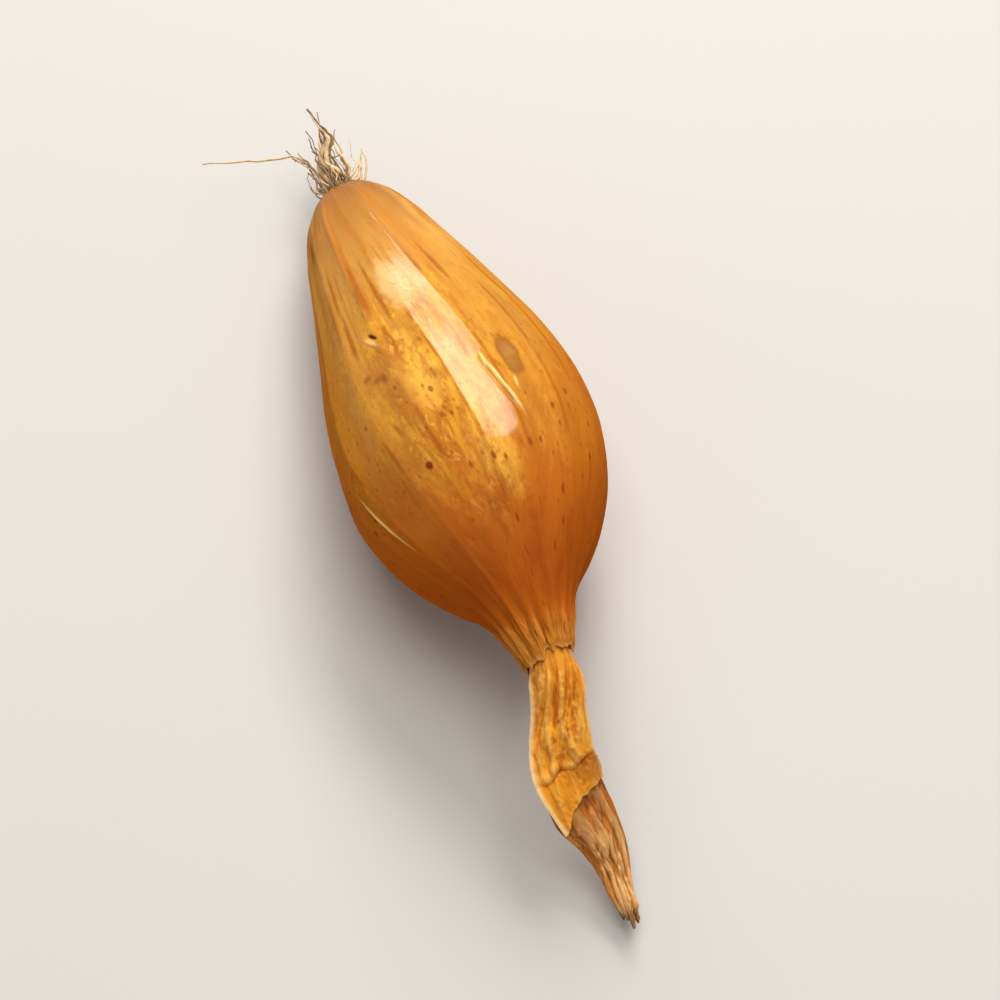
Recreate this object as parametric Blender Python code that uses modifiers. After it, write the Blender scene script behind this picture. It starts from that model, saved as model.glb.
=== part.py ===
# One onion set lying on its side: a small teardrop bulb in its papery tunic, the two withered
# leaves that hang from its neck, and the dry root tuft on its base.
# Metres, +Z up. The neck points along -Y, and the origin is the middle of the small flat spot
# that the bulb lies on.

import math
import random
from collections import namedtuple

import bmesh
import bpy
from mathutils import Vector, noise

# Bulb
BULB_LENGTH = 0.0417  # root end to neck rim, along the axis
BULB_RADIUS = 0.0095  # at the belly
OUTLINE = (  # (share of the length, share of the belly radius), from the root end
    (0.000, 0.200),
    (0.020, 0.290),
    (0.052, 0.390),
    (0.109, 0.500),
    (0.160, 0.568),
    (0.245, 0.680),
    (0.330, 0.788),
    (0.424, 0.905),
    (0.520, 0.982),
    (0.595, 1.000),
    (0.655, 0.980),
    (0.730, 0.888),
    (0.795, 0.745),
    (0.845, 0.595),
    (0.890, 0.440),
    (0.940, 0.312),
    (1.000, 0.235),
)
OUTLINE_ROWS = 38  # rings of the outer skin
BOW = 3.0  # degrees: the axis bends this much to either side of straight, with its hollow side to -X
BOW_SPAN = (0.15, 0.75)  # share of the length over which it bends
LUMPINESS = 0.016  # slow swell of the surface, as a share of the radius
FLAT_DEPTH = 0.00035  # how far the flat spot cuts into the belly

# Tunic
STRIPS = 18  # flat strips between the main veins
COLUMNS_PER_STRIP = 4
TOP_STRIP_TURN = 85.7  # degrees from +X round to the middle of the first strip, half way along
STRIP_TWIST = -29.0  # degrees: the veins spiral this much over the length
VEIN_STRAY = 0.24  # how far the other veins stray, as a share of a strip's width
FLATS_FADE = (0.45, 0.80)  # the strips melt into a round belly between these shares of the length
BELLY_FLATNESS = 0.25  # what is left of the flats there
PLEAT_START = 0.84  # where the tunic begins to gather into the neck
PLEAT_DEPTH = 0.15  # share of the neck's radius
COLLAR_START = 0.965
COLLAR_TEAR = 0.0010  # how far the torn rim runs past and short of the neck's length

# Neck: the axis comes back in line with the bulb, and droops
NECK_BEND_START = 0.83
NECK_HEADING = 1.0
NECK_PITCH = -6.0

# Sockets for the leaves and the root plate
GAP = 0.0003
NECK_WALL = 0.00042
NECK_SOCKET_DEPTH = 0.0024
ROOT_WALL = 0.0004
ROOT_SOCKET_DEPTH = 0.0009

# Withered leaves: a short outer blade over a longer inner one, on one drooping path.
# Stops are (share of the path, degrees or metres).
PATH_LENGTH = 0.0226
PATH_HEADINGS = (
    (0.00, 1.0),
    (0.13, 2.0),
    (0.24, 15.0),
    (0.38, 18.0),
    (0.48, -4.0),
    (0.60, -20.0),
    (0.70, -15.0),
    (0.82, 0.0),
    (1.00, 4.0),
)
PATH_PITCHES = (
    (0.00, -6.0),
    (0.13, -7.0),
    (0.26, -26.0),
    (0.45, -36.0),
    (0.70, -38.0),
    (0.86, -28.0),
    (1.00, -10.0),
)
PATH_ROLLS = (
    (0.00, 0.0),
    (0.40, 8.0),
    (0.58, -4.0),
    (0.80, -16.0),
    (1.00, -24.0),
)
BLADE_THICKNESS = 0.00066
BLADE_COLUMNS = 8
ROW_LENGTH = 0.0008
OUTER_END = 0.60
OUTER_SLANT = -0.070  # the torn end of the outer blade runs aslant: shorter on its +X side
OUTER_WIDTHS = (
    (0.00, 0.0020),
    (0.11, 0.0025),
    (0.18, 0.0034),
    (0.28, 0.0041),
    (0.44, 0.0046),
    (0.60, 0.0047),
)
INNER_END = 1.0
INNER_WIDTHS = (
    (0.00, 0.0017),
    (0.11, 0.0020),
    (0.30, 0.0029),
    (0.50, 0.0040),
    (0.60, 0.0047),
    (0.68, 0.0043),
    (0.76, 0.0034),
    (0.84, 0.0024),
    (0.93, 0.0014),
    (1.00, 0.0009),
)
ARCH = 0.22  # how much a blade's middle stands above its edges, as a share of its half width
CRINKLE = 0.00034  # height of the creases
CREASES_ALONG = 7.0
CREASES_ACROSS = 1.2
EDGE_WAVE = 0.10  # share of the half width
EDGE_WAVES_ALONG = 9.0
END_TEAR = 0.035  # how far a blade's end is torn in and out, as a share of the path
TEARS_ACROSS = 3.5
FREE_SPAN = (0.10, 0.25)  # share of the path over which a blade comes free of the neck and bends

# Root tuft
PLATE_DOME = 0.0006  # how far the corky plate stands out of the bulb
PLATE_ROWS = 5
PLATE_STEPS = 16
ROOT_COUNT = 22
ROOT_RADIUS = 0.00022
ROOT_TIP_SHARE = 0.55
ROOT_LENGTHS = (0.0028, 0.0076)
ROOT_POINTS = 6
ROOT_SPREAD = 15.0  # degrees from the axis to the outermost roots
ROOT_CURL = 0.0013
CURL_TURN = 2.6  # radians of a root's curl
ROOT_SINK = 0.0007  # depth of a root's foot in the plate
ROOTED_SHARE = 0.72  # share of the plate's radius that bears roots
LONG_ROOT_FOOT = 0.3  # share of the way from the plate's middle to its edge
LONG_ROOT_LENGTH = 0.0122
LONG_ROOT_TURNS = (14.0, 68.0)  # degrees from the axis towards -X, at its foot and at its tip
LONG_ROOT_BEND = (0.34, 0.50)  # share of its length over which it turns aside
LONG_ROOT_POINTS = 10
LONG_ROOT_WAVE = 0.12

SEED = 11

TUNIC_COLOUR = (0.56, 0.23, 0.05, 1.0)
OUTER_LEAF_COLOUR = (0.66, 0.34, 0.09, 1.0)
INNER_LEAF_COLOUR = (0.38, 0.24, 0.13, 1.0)
ROOT_COLOUR = (0.40, 0.26, 0.14, 1.0)

Frame = namedtuple("Frame", "point forward side up")


def clear_scene():
    for obj in list(bpy.data.objects):
        bpy.data.objects.remove(obj, do_unlink=True)


def smoothstep(low, high, value):
    t = min(1.0, max(0.0, (value - low) / (high - low)))
    return t * t * (3.0 - 2.0 * t)


def mix(a, b, share):
    return a + (b - a) * share


def along(stops, share):
    """The value at a share of the way along a list of (share, value) stops, on a smooth curve."""
    last = len(stops) - 1
    i = 0
    while i < last - 1 and share > stops[i + 1][0]:
        i += 1
    (x0, y0), (x1, y1) = stops[i], stops[i + 1]
    before, after = stops[max(i - 1, 0)], stops[min(i + 2, last)]
    slope0 = (y1 - before[1]) / (x1 - before[0])
    slope1 = (after[1] - y0) / (after[0] - x0)
    width = x1 - x0
    t = min(1.0, max(0.0, (share - x0) / width))
    t2, t3 = t * t, t * t * t
    start = (2 * t3 - 3 * t2 + 1) * y0 + (t3 - 2 * t2 + t) * slope0 * width
    end = (3 * t2 - 2 * t3) * y1 + (t3 - t2) * slope1 * width
    return start + end


def outline_radius(share):
    return BULB_RADIUS * along(OUTLINE, min(1.0, max(0.0, share)))


def make_frame(point, heading, pitch):
    """A frame whose forward runs along -Y, turned towards -X by heading and raised by pitch."""
    h, p = math.radians(heading), math.radians(pitch)
    forward = Vector((-math.sin(h) * math.cos(p), -math.cos(h) * math.cos(p), math.sin(p)))
    side = Vector((math.cos(h), -math.sin(h), 0.0))
    return Frame(point, forward, side, forward.cross(side))


def walk(start, length, heading_at, pitch_at, steps):
    """Frames at even steps of a path that sets out from start and steers by two functions of the share."""
    frames = []
    point = start.copy()
    for i in range(steps + 1):
        frame = make_frame(point.copy(), heading_at(i / steps), pitch_at(i / steps))
        frames.append(frame)
        point += frame.forward * (length / steps)
    return frames


def frame_at(frames, share):
    """The frame at a share of a walked path, carried straight on past its ends."""
    last = len(frames) - 1
    place = share * last
    i = min(last - 1, max(0, int(place)))
    a, b = frames[i], frames[i + 1]
    t = place - i
    blend = min(1.0, max(0.0, t))
    point = a.point + (b.point - a.point) * t
    forward = a.forward.lerp(b.forward, blend).normalized()
    side = a.side.lerp(b.side, blend).normalized()
    return Frame(point, forward, side, forward.cross(side).normalized())


def centre_of_mass_share():
    """Where the weight of the turned bulb lies, as a share of its length."""
    steps = 200
    shares = [(i + 0.5) / steps for i in range(steps)]
    areas = [outline_radius(s) ** 2 for s in shares]
    return sum(s * a for s, a in zip(shares, areas)) / sum(areas)


def resting_place():
    """The share of the length where the bulb touches the ground under its weight, and its slope there."""
    weight = centre_of_mass_share()
    step = 0.002
    share = weight
    slope = 0.0
    while share > 0.0:
        rise = outline_radius(share + step) - outline_radius(share - step)
        slope = rise / (2 * step * BULB_LENGTH)
        if share + outline_radius(share) * slope / BULB_LENGTH <= weight:
            break
        share -= step
    return share, slope


def bulb_spine():
    """The bulb's axis from root end to neck rim, as it lies with its belly on the ground."""
    touch, slope = resting_place()
    lie = math.degrees(math.atan(slope))

    def heading(share):
        neck_turn = (NECK_HEADING - BOW) * smoothstep(NECK_BEND_START, 1.0, share)
        return mix(-BOW, BOW, smoothstep(*BOW_SPAN, share)) + neck_turn

    def pitch(share):
        return mix(lie, NECK_PITCH, smoothstep(NECK_BEND_START, 1.0, share))

    spine = walk(Vector(), BULB_LENGTH, heading, pitch, 160)
    at_touch = frame_at(spine, touch)
    to_ground = at_touch.point - at_touch.up * outline_radius(touch)
    shift = Vector((0.0, 0.0, -FLAT_DEPTH)) - to_ground
    return [frame._replace(point=frame.point + shift) for frame in spine]


def vein_angles(rng):
    """The angles of the main veins. The strip between the first two lies on the upper side."""
    step = 2 * math.pi / STRIPS
    first = math.radians(TOP_STRIP_TURN) - step / 2
    strays = [0.0, 0.0] + [rng.uniform(-VEIN_STRAY, VEIN_STRAY) for k in range(STRIPS - 2)]
    angles = [first + (k + stray) * step for k, stray in enumerate(strays)]
    return angles + [first + 2 * math.pi]


def tunic_form(column, share, veins):
    """(angle, radius factor) of the tunic at a column: flats between veins, swells and pleats."""
    k = int(column // COLUMNS_PER_STRIP) % STRIPS
    t = (column % COLUMNS_PER_STRIP) / COLUMNS_PER_STRIP
    low, high = veins[k], veins[k + 1]
    angle = mix(low, high, t)
    half = (high - low) / 2
    chord = math.cos(half) / math.cos(angle - (low + high) / 2)
    flatness = mix(1.0, BELLY_FLATNESS, smoothstep(*FLATS_FADE, share))
    factor = mix(1.0, chord, flatness)
    spot = Vector((math.cos(angle), math.sin(angle), share * 2.6))
    factor *= 1.0 + LUMPINESS * noise.noise(spot * 1.3)
    gather = smoothstep(PLEAT_START, 1.0, share)
    factor *= 1.0 - PLEAT_DEPTH * gather * math.sin(math.pi * t) ** 2
    return angle + math.radians(STRIP_TWIST) * (share - 0.5), factor


def turned_mesh(name, profile, steps):
    """A closed solid turned about Z from (radius, height) points that run down its outer side."""
    mesh = bpy.data.meshes.new(name)
    points = [(radius, 0.0, height) for radius, height in profile]
    mesh.from_pydata(points, [(i, i + 1) for i in range(len(points) - 1)], [])
    obj = bpy.data.objects.new(name, mesh)
    bpy.context.scene.collection.objects.link(obj)
    screw = obj.modifiers.new("turn", "SCREW")
    screw.steps = screw.render_steps = steps
    screw.use_merge_vertices = True
    screw.merge_threshold = 0.00001
    return apply_modifiers(obj)


def apply_modifiers(obj):
    """Swaps an object's mesh for its evaluated one and removes its modifiers."""
    graph = bpy.context.evaluated_depsgraph_get()
    made = bpy.data.meshes.new_from_object(obj.evaluated_get(graph))
    obj.modifiers.clear()
    obj.data = made
    return obj


def give_material(obj, colour, roughness):
    material = bpy.data.materials.new(obj.name)
    material.use_nodes = True
    shader = material.node_tree.nodes["Principled BSDF"]
    shader.inputs["Base Color"].default_value = colour
    shader.inputs["Roughness"].default_value = roughness
    shader.inputs["Metallic"].default_value = 0.0
    obj.data.materials.clear()
    obj.data.materials.append(material)


def make_bulb(spine):
    """The bulb in its tunic, with a socket at each end, for the leaves and for the root plate."""
    neck_radius, root_radius = outline_radius(1.0), outline_radius(0.0)
    neck_socket, root_socket = neck_radius - NECK_WALL, root_radius - ROOT_WALL
    profile = [
        (0.0, BULB_LENGTH - NECK_SOCKET_DEPTH),
        (neck_socket, BULB_LENGTH - NECK_SOCKET_DEPTH),
        (neck_socket, BULB_LENGTH),
    ]
    for i in range(OUTLINE_ROWS + 1):
        share = 1.0 - i / OUTLINE_ROWS
        profile.append((outline_radius(share), share * BULB_LENGTH))
    profile += [(root_socket, 0.0), (root_socket, ROOT_SOCKET_DEPTH), (0.0, ROOT_SOCKET_DEPTH)]
    columns = STRIPS * COLUMNS_PER_STRIP
    bulb = turned_mesh("bulb", profile, columns)

    veins = vein_angles(random.Random(SEED))
    for vertex in bulb.data.vertices:
        x, y, height = vertex.co
        radius = math.hypot(x, y)
        share = height / BULB_LENGTH
        column = round(math.atan2(y, x) / (2 * math.pi) * columns) % columns
        angle, factor = tunic_form(column, share, veins)
        tear = noise.noise(Vector((math.cos(angle), math.sin(angle), 3.1)) * 2.4)
        share += COLLAR_TEAR * tear / BULB_LENGTH * smoothstep(COLLAR_START, 1.0, share)
        frame = frame_at(spine, share)
        offset = frame.side * math.cos(angle) + frame.up * math.sin(angle)
        vertex.co = frame.point + offset * (radius * factor)
        vertex.co.z = max(vertex.co.z, 0.0)
    bulb.data.update()
    bulb.data.shade_smooth()
    give_material(bulb, TUNIC_COLOUR, 0.35)
    return bulb


def leaf_path(spine):
    """The path that both leaves follow out of the neck and down to the ground."""
    neck = frame_at(spine, 1.0)
    start = neck.point - neck.forward * (NECK_SOCKET_DEPTH - GAP)
    return walk(
        start,
        PATH_LENGTH,
        lambda share: along(PATH_HEADINGS, share),
        lambda share: along(PATH_PITCHES, share),
        120,
    )


def make_leaf(name, path, end, slant, widths, lift, colour):
    """One withered leaf: a crinkled ribbon along the path, lifted off it, with a torn end."""
    rows = round(end * PATH_LENGTH / ROW_LENGTH)
    mesh = bpy.data.meshes.new(name)
    sheet = bmesh.new()
    bmesh.ops.create_grid(sheet, x_segments=BLADE_COLUMNS, y_segments=rows, size=1.0)
    for vertex in sheet.verts:
        across, row = vertex.co.x, (vertex.co.y + 1.0) / 2.0
        tear = END_TEAR * noise.noise(Vector((across * TEARS_ACROSS, end * 9.0, 1.7)))
        share = row * (end + slant * across) + tear * smoothstep(0.8, 1.0, row)
        vertex.co = blade_point(path, across, share, along(widths, share) / 2, lift)
    bmesh.ops.triangulate(sheet, faces=sheet.faces)
    sheet.to_mesh(mesh)
    sheet.free()
    leaf = bpy.data.objects.new(name, mesh)
    bpy.context.scene.collection.objects.link(leaf)
    wall = leaf.modifiers.new("thickness", "SOLIDIFY")
    wall.thickness = BLADE_THICKNESS
    wall.offset = 0.0
    apply_modifiers(leaf)
    leaf.data.shade_smooth()
    give_material(leaf, colour, 0.6)
    return leaf


def blade_point(path, across, share, half_width, lift):
    """A point of a blade's middle surface; across runs from -1 to 1 over its width."""
    frame = frame_at(path, share)
    roll = math.radians(along(PATH_ROLLS, share))
    side = frame.side * math.cos(roll) + frame.up * math.sin(roll)
    up = frame.up * math.cos(roll) - frame.side * math.sin(roll)
    free = smoothstep(*FREE_SPAN, share)
    wave = noise.noise(Vector((share * EDGE_WAVES_ALONG, across * 2.0, 0.0)))
    distance = across * half_width * (1.0 + EDGE_WAVE * wave * free)
    hollow = ARCH * distance * distance / half_width * free
    spot = Vector((distance / half_width * CREASES_ACROSS, share * CREASES_ALONG, 0.7))
    crease = CRINKLE * noise.noise(spot) * free
    return frame.point + side * distance + up * (lift - hollow + crease)


def make_leaves(spine):
    path = leaf_path(spine)
    lift = (BLADE_THICKNESS + GAP) / 2
    outer = make_leaf("outer_leaf", path, OUTER_END, OUTER_SLANT, OUTER_WIDTHS, lift, OUTER_LEAF_COLOUR)
    inner = make_leaf("inner_leaf", path, INNER_END, 0.0, INNER_WIDTHS, -lift, INNER_LEAF_COLOUR)
    return [outer, inner]


def make_plate(base):
    """The corky root plate, domed outwards, set in the bulb's root socket with a gap all round."""
    radius = outline_radius(0.0) - ROOT_WALL - GAP
    foot = ROOT_SOCKET_DEPTH - GAP
    profile = [(0.0, foot), (radius, foot), (radius, 0.0)]
    for i in range(1, PLATE_ROWS + 1):
        turn = math.pi / 2 * i / PLATE_ROWS
        profile.append((radius * math.cos(turn), -PLATE_DOME * math.sin(turn)))
    profile[-1] = (0.0, -PLATE_DOME)
    plate = turned_mesh("root_tuft", profile, PLATE_STEPS)
    for vertex in plate.data.vertices:
        x, y, height = vertex.co
        vertex.co = base.point + base.side * x + base.up * y + base.forward * height
    return plate


def tube(name, points):
    """A thin closed tube through the points, tapering to its tip."""
    curve = bpy.data.curves.new(name, "CURVE")
    curve.dimensions = "3D"
    curve.bevel_depth = ROOT_RADIUS
    curve.bevel_resolution = 0
    curve.use_fill_caps = True
    spline = curve.splines.new("POLY")
    spline.points.add(len(points) - 1)
    for i, place in enumerate(points):
        spline.points[i].co = (*place, 1.0)
        spline.points[i].radius = mix(1.0, ROOT_TIP_SHARE, i / (len(points) - 1))
    wire = bpy.data.objects.new("wire", curve)
    bpy.context.scene.collection.objects.link(wire)
    graph = bpy.context.evaluated_depsgraph_get()
    mesh = bpy.data.meshes.new_from_object(wire.evaluated_get(graph))
    bpy.data.objects.remove(wire)
    seams = bmesh.new()
    seams.from_mesh(mesh)
    bmesh.ops.remove_doubles(seams, verts=seams.verts, dist=0.000005)
    seams.to_mesh(mesh)
    seams.free()
    return bpy.data.objects.new(name, mesh)


def plate_foot(base, outward, ring):
    """Where a root's foot sits in the plate; ring runs from 0 in the middle to 1 at the edge."""
    rooted = (outline_radius(0.0) - ROOT_WALL - GAP) * ROOTED_SHARE
    return base.point + outward * (rooted * ring) - base.forward * (PLATE_DOME - ROOT_SINK)


def make_root(number, base, rng):
    """One dry root of the tuft, curling to one side."""
    ring = math.sqrt((number + 0.5) / ROOT_COUNT)
    turn = number * math.pi * (3.0 - math.sqrt(5.0))
    outward = base.side * math.cos(turn) + base.up * math.sin(turn)
    lean = math.radians(ROOT_SPREAD * ring)
    heading = outward * math.sin(lean) - base.forward * math.cos(lean)
    length = rng.uniform(*ROOT_LENGTHS)
    sideways = outward.cross(heading) * rng.uniform(-1.0, 1.0) + outward * rng.uniform(-1.0, 0.5)
    foot = plate_foot(base, outward, ring)
    points = []
    for i in range(ROOT_POINTS):
        share = i / (ROOT_POINTS - 1)
        curl = ROOT_CURL * math.sin(share * CURL_TURN) * share
        points.append(foot + heading * (length * share) + sideways * curl)
    return tube(f"root_{number}", points)


def make_long_root(base):
    """The one root that trails away to the side."""
    foot = plate_foot(base, -base.side, LONG_ROOT_FOOT)
    points = [foot]
    step = LONG_ROOT_LENGTH / (LONG_ROOT_POINTS - 1)
    for i in range(1, LONG_ROOT_POINTS):
        bend = math.radians(mix(*LONG_ROOT_TURNS, smoothstep(*LONG_ROOT_BEND, i / LONG_ROOT_POINTS)))
        heading = -base.forward * math.cos(bend) - base.side * math.sin(bend)
        points.append(points[-1] + (heading + base.up * LONG_ROOT_WAVE * math.sin(i)) * step)
    return tube("long_root", points)


def make_root_tuft(spine):
    """The plate and its roots, joined into one body."""
    base = frame_at(spine, 0.0)
    plate = make_plate(base)
    rng = random.Random(SEED)
    roots = bpy.data.collections.new("roots")
    bpy.context.scene.collection.children.link(roots)
    for number in range(ROOT_COUNT):
        roots.objects.link(make_root(number, base, rng))
    roots.objects.link(make_long_root(base))
    join = plate.modifiers.new("roots", "BOOLEAN")
    join.operation = "UNION"
    join.operand_type = "COLLECTION"
    join.collection = roots
    join.solver = "EXACT"
    apply_modifiers(plate)
    for root in list(roots.objects):
        bpy.data.objects.remove(root)
    bpy.data.collections.remove(roots)
    plate.data.shade_flat()
    give_material(plate, ROOT_COLOUR, 0.8)
    return plate


def gather_parts(parts, name):
    """Moves the parts into a collection of their own, under one empty."""
    collection = bpy.data.collections.new(name)
    bpy.context.scene.collection.children.link(collection)
    holder = bpy.data.objects.new(name, None)
    collection.objects.link(holder)
    for part in parts:
        bpy.context.scene.collection.objects.unlink(part)
        collection.objects.link(part)
        part.parent = holder


def main():
    clear_scene()
    spine = bulb_spine()
    gather_parts([make_bulb(spine), *make_leaves(spine), make_root_tuft(spine)], "onion_set")


main()
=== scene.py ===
import math
import random
from collections import namedtuple

import bpy
from mathutils import Matrix, Vector, noise


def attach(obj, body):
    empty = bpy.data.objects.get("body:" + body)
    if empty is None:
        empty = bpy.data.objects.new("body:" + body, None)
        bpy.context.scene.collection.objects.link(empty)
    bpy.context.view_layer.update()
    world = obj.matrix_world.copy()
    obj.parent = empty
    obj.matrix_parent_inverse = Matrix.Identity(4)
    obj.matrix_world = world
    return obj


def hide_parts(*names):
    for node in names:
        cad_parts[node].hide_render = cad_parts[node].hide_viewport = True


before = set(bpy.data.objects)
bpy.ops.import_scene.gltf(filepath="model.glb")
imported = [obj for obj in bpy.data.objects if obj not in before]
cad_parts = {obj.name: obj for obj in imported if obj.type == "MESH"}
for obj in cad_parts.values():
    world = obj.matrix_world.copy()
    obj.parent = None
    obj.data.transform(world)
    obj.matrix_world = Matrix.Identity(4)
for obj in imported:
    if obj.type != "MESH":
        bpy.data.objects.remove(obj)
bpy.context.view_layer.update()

# One onion set on a pale table: the glossy bulb, its two withered leaves and its dry roots.
# The origin is the spot that the bulb lies on, and the neck points along -Y.

Station = namedtuple("Station", "point forward side up")
mm = 0.001


# Small helpers for numbers and paths

def smoothstep(low, high, value):
    t = min(1.0, max(0.0, (value - low) / (high - low)))
    return t * t * (3.0 - 2.0 * t)


def blend(a, b, share):
    return a + (b - a) * share


def along(stops, share):  # smooth curve through (share, value) stops
    last = len(stops) - 1
    i = 0
    while i < last - 1 and share > stops[i + 1][0]:
        i += 1
    (x0, y0), (x1, y1) = stops[i], stops[i + 1]
    before, after = stops[max(i - 1, 0)], stops[min(i + 2, last)]
    slope0 = (y1 - before[1]) / (x1 - before[0])
    slope1 = (after[1] - y0) / (after[0] - x0)
    width = x1 - x0
    t = min(1.0, max(0.0, (share - x0) / width))
    t2, t3 = t * t, t * t * t
    start = (2 * t3 - 3 * t2 + 1) * y0 + (t3 - 2 * t2 + t) * slope0 * width
    return start + (3 * t2 - 2 * t3) * y1 + (t3 - t2) * slope1 * width


def station(point, heading, pitch):  # forward runs along -Y, turned towards -X and raised
    h, p = math.radians(heading), math.radians(pitch)
    forward = Vector((-math.sin(h) * math.cos(p), -math.cos(h) * math.cos(p), math.sin(p)))
    side = Vector((math.cos(h), -math.sin(h), 0.0))
    return Station(point, forward, side, forward.cross(side))


def walk(start, length, headingAt, pitchAt, steps):
    stations = []
    point = start.copy()
    for i in range(steps + 1):
        here = station(point.copy(), headingAt(i / steps), pitchAt(i / steps))
        stations.append(here)
        point += here.forward * (length / steps)
    return stations


def stationAt(stations, share):  # carried straight on past the ends
    last = len(stations) - 1
    place = share * last
    i = min(last - 1, max(0, int(place)))
    a, b = stations[i], stations[i + 1]
    t = place - i
    part = min(1.0, max(0.0, t))
    forward = a.forward.lerp(b.forward, part).normalized()
    side = a.side.lerp(b.side, part).normalized()
    return Station(a.point + (b.point - a.point) * t, forward, side, forward.cross(side).normalized())


# Node trees, for shaders and geometry alike

class Wire:  # an output socket that can be used in sums
    def __init__(self, bench, socket):
        self.bench = bench
        self.socket = socket

    def __add__(self, other):
        return self.bench.maths("ADD", self, other)

    def __sub__(self, other):
        return self.bench.maths("SUBTRACT", self, other)

    def __rsub__(self, other):
        return self.bench.maths("SUBTRACT", other, self)

    def __mul__(self, other):
        return self.bench.maths("MULTIPLY", self, other)

    def __truediv__(self, other):
        return self.bench.maths("DIVIDE", self, other)

    __radd__ = __add__
    __rmul__ = __mul__


class Bench:  # a node tree in the making
    def __init__(self, tree):
        self.tree = tree

    def node(self, kind, settings=None, inputs=None, output=0):
        made = self.tree.nodes.new(kind)
        for name, value in (settings or {}).items():
            if name == "stops":
                self.fillRamp(made.color_ramp, value)
            else:
                setattr(made, name, value)
        for key, value in (inputs or {}).items():
            self.feed(made.inputs[key], value)
        return Wire(self, made.outputs[output])

    def feed(self, socket, value):
        if isinstance(value, Wire):
            self.tree.links.new(value.socket, socket)
        else:
            socket.default_value = value

    def fillRamp(self, ramp, stops):
        while len(ramp.elements) < len(stops):
            ramp.elements.new(0.5)
        for element, (place, colour) in zip(ramp.elements, stops):
            element.position = place
            element.color = (*colour, 1.0)

    def maths(self, operation, *values):
        return self.node("ShaderNodeMath", {"operation": operation}, dict(enumerate(values)))

    def vector(self, operation, *values):
        output = 1 if operation in ("LENGTH", "DISTANCE", "DOT_PRODUCT") else 0
        return self.node("ShaderNodeVectorMath", {"operation": operation}, dict(enumerate(values)), output)

    def stretch(self, place, x, y, z):
        return self.vector("MULTIPLY", place, (x, y, z))

    def noise(self, place, scale, detail=3.0, roughness=0.5, distortion=0.0):
        inputs = {"Vector": place, "Scale": scale, "Detail": detail, "Roughness": roughness}
        return self.node("ShaderNodeTexNoise", {}, {**inputs, "Distortion": distortion})

    def cells(self, place, scale, feature="F1", output=0):
        inputs = {"Vector": place, "Scale": scale}
        return self.node("ShaderNodeTexVoronoi", {"feature": feature}, inputs, output)

    def ease(self, value, low, high, lowest=0.0, highest=1.0):
        inputs = {0: value, 1: low, 2: high, 3: lowest, 4: highest}
        return self.node("ShaderNodeMapRange", {"interpolation_type": "SMOOTHSTEP"}, inputs)

    def ridges(self, value):  # 1 along the middle level of a noise, 0 away from it
        return 1.0 - self.maths("ABSOLUTE", value * 2.0 - 1.0)

    def tint(self, factor, a, b, way="MIX"):  # blends two colours
        settings = {"data_type": "RGBA", "blend_type": way}
        inputs = {0: factor, 6: self.colour(a), 7: self.colour(b)}
        return self.node("ShaderNodeMix", settings, inputs, 2)

    def colour(self, value):
        return value if isinstance(value, Wire) else (*value, 1.0)

    def ramp(self, value, *stops):
        return self.node("ShaderNodeValToRGB", {"stops": stops}, {0: value})


class Finish(Bench):  # one material, on one Principled shader
    def __init__(self, name, sockets):
        self.material = bpy.data.materials.new(name)
        self.material.use_nodes = True
        super().__init__(self.material.node_tree)
        self.shader = self.tree.nodes["Principled BSDF"]
        for key, value in sockets.items():
            self.shader.inputs[key].default_value = value

    def attribute(self, name, output=2):
        return self.node("ShaderNodeAttribute", {"attribute_name": name}, {}, output)

    def object(self):
        return self.node("ShaderNodeTexCoord", {}, {}, 3)

    def set(self, key, value):
        self.feed(self.shader.inputs[key], value)

    def bump(self, height, distance, strength=1.0):
        inputs = {"Strength": strength, "Distance": distance, "Height": height}
        self.set("Normal", self.node("ShaderNodeBump", {}, inputs))


class Grower(Bench):  # one Geometry Nodes tree with named inputs
    def __init__(self, name, sizes):
        tree = bpy.data.node_groups.new(name, "GeometryNodeTree")
        super().__init__(tree)
        tree.interface.new_socket("Geometry", in_out="INPUT", socket_type="NodeSocketGeometry")
        tree.interface.new_socket("Geometry", in_out="OUTPUT", socket_type="NodeSocketGeometry")
        for label, value in sizes.items():
            kind = "NodeSocketInt" if isinstance(value, int) else "NodeSocketFloat"
            tree.interface.new_socket(label, in_out="INPUT", socket_type=kind).default_value = value
        self.sizes = sizes
        self.start = tree.nodes.new("NodeGroupInput")
        self.end = tree.nodes.new("NodeGroupOutput")

    def input(self, label):
        return Wire(self, self.start.outputs[label])

    def attribute(self, name, kind="FLOAT"):
        return self.node("GeometryNodeInputNamedAttribute", {"data_type": kind}, {"Name": name})

    def move(self, geometry, offset):
        return self.node("GeometryNodeSetPosition", {}, {"Geometry": geometry, "Offset": offset})

    def close(self, geometry, material):  # every tree ends in the same two steps
        whole = self.node("GeometryNodeRealizeInstances", {}, {0: geometry})
        done = self.node("GeometryNodeSetMaterial", {}, {"Geometry": whole, "Material": material})
        self.tree.links.new(done.socket, self.end.inputs[0])

    def grow(self, obj):  # runs the tree on an object and leaves a plain mesh
        modifier = obj.modifiers.new(self.tree.name, "NODES")
        modifier.node_group = self.tree
        for item in self.tree.interface.items_tree:
            if item.in_out == "INPUT" and item.name in self.sizes:
                modifier[item.identifier] = self.sizes[item.name]
        return bakeModifiers(obj)


def bakeModifiers(obj):
    graph = bpy.context.evaluated_depsgraph_get()
    made = bpy.data.meshes.new_from_object(
        obj.evaluated_get(graph), preserve_all_data_layers=True, depsgraph=graph
    )
    obj.modifiers.clear()
    obj.data = made
    return obj


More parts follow.
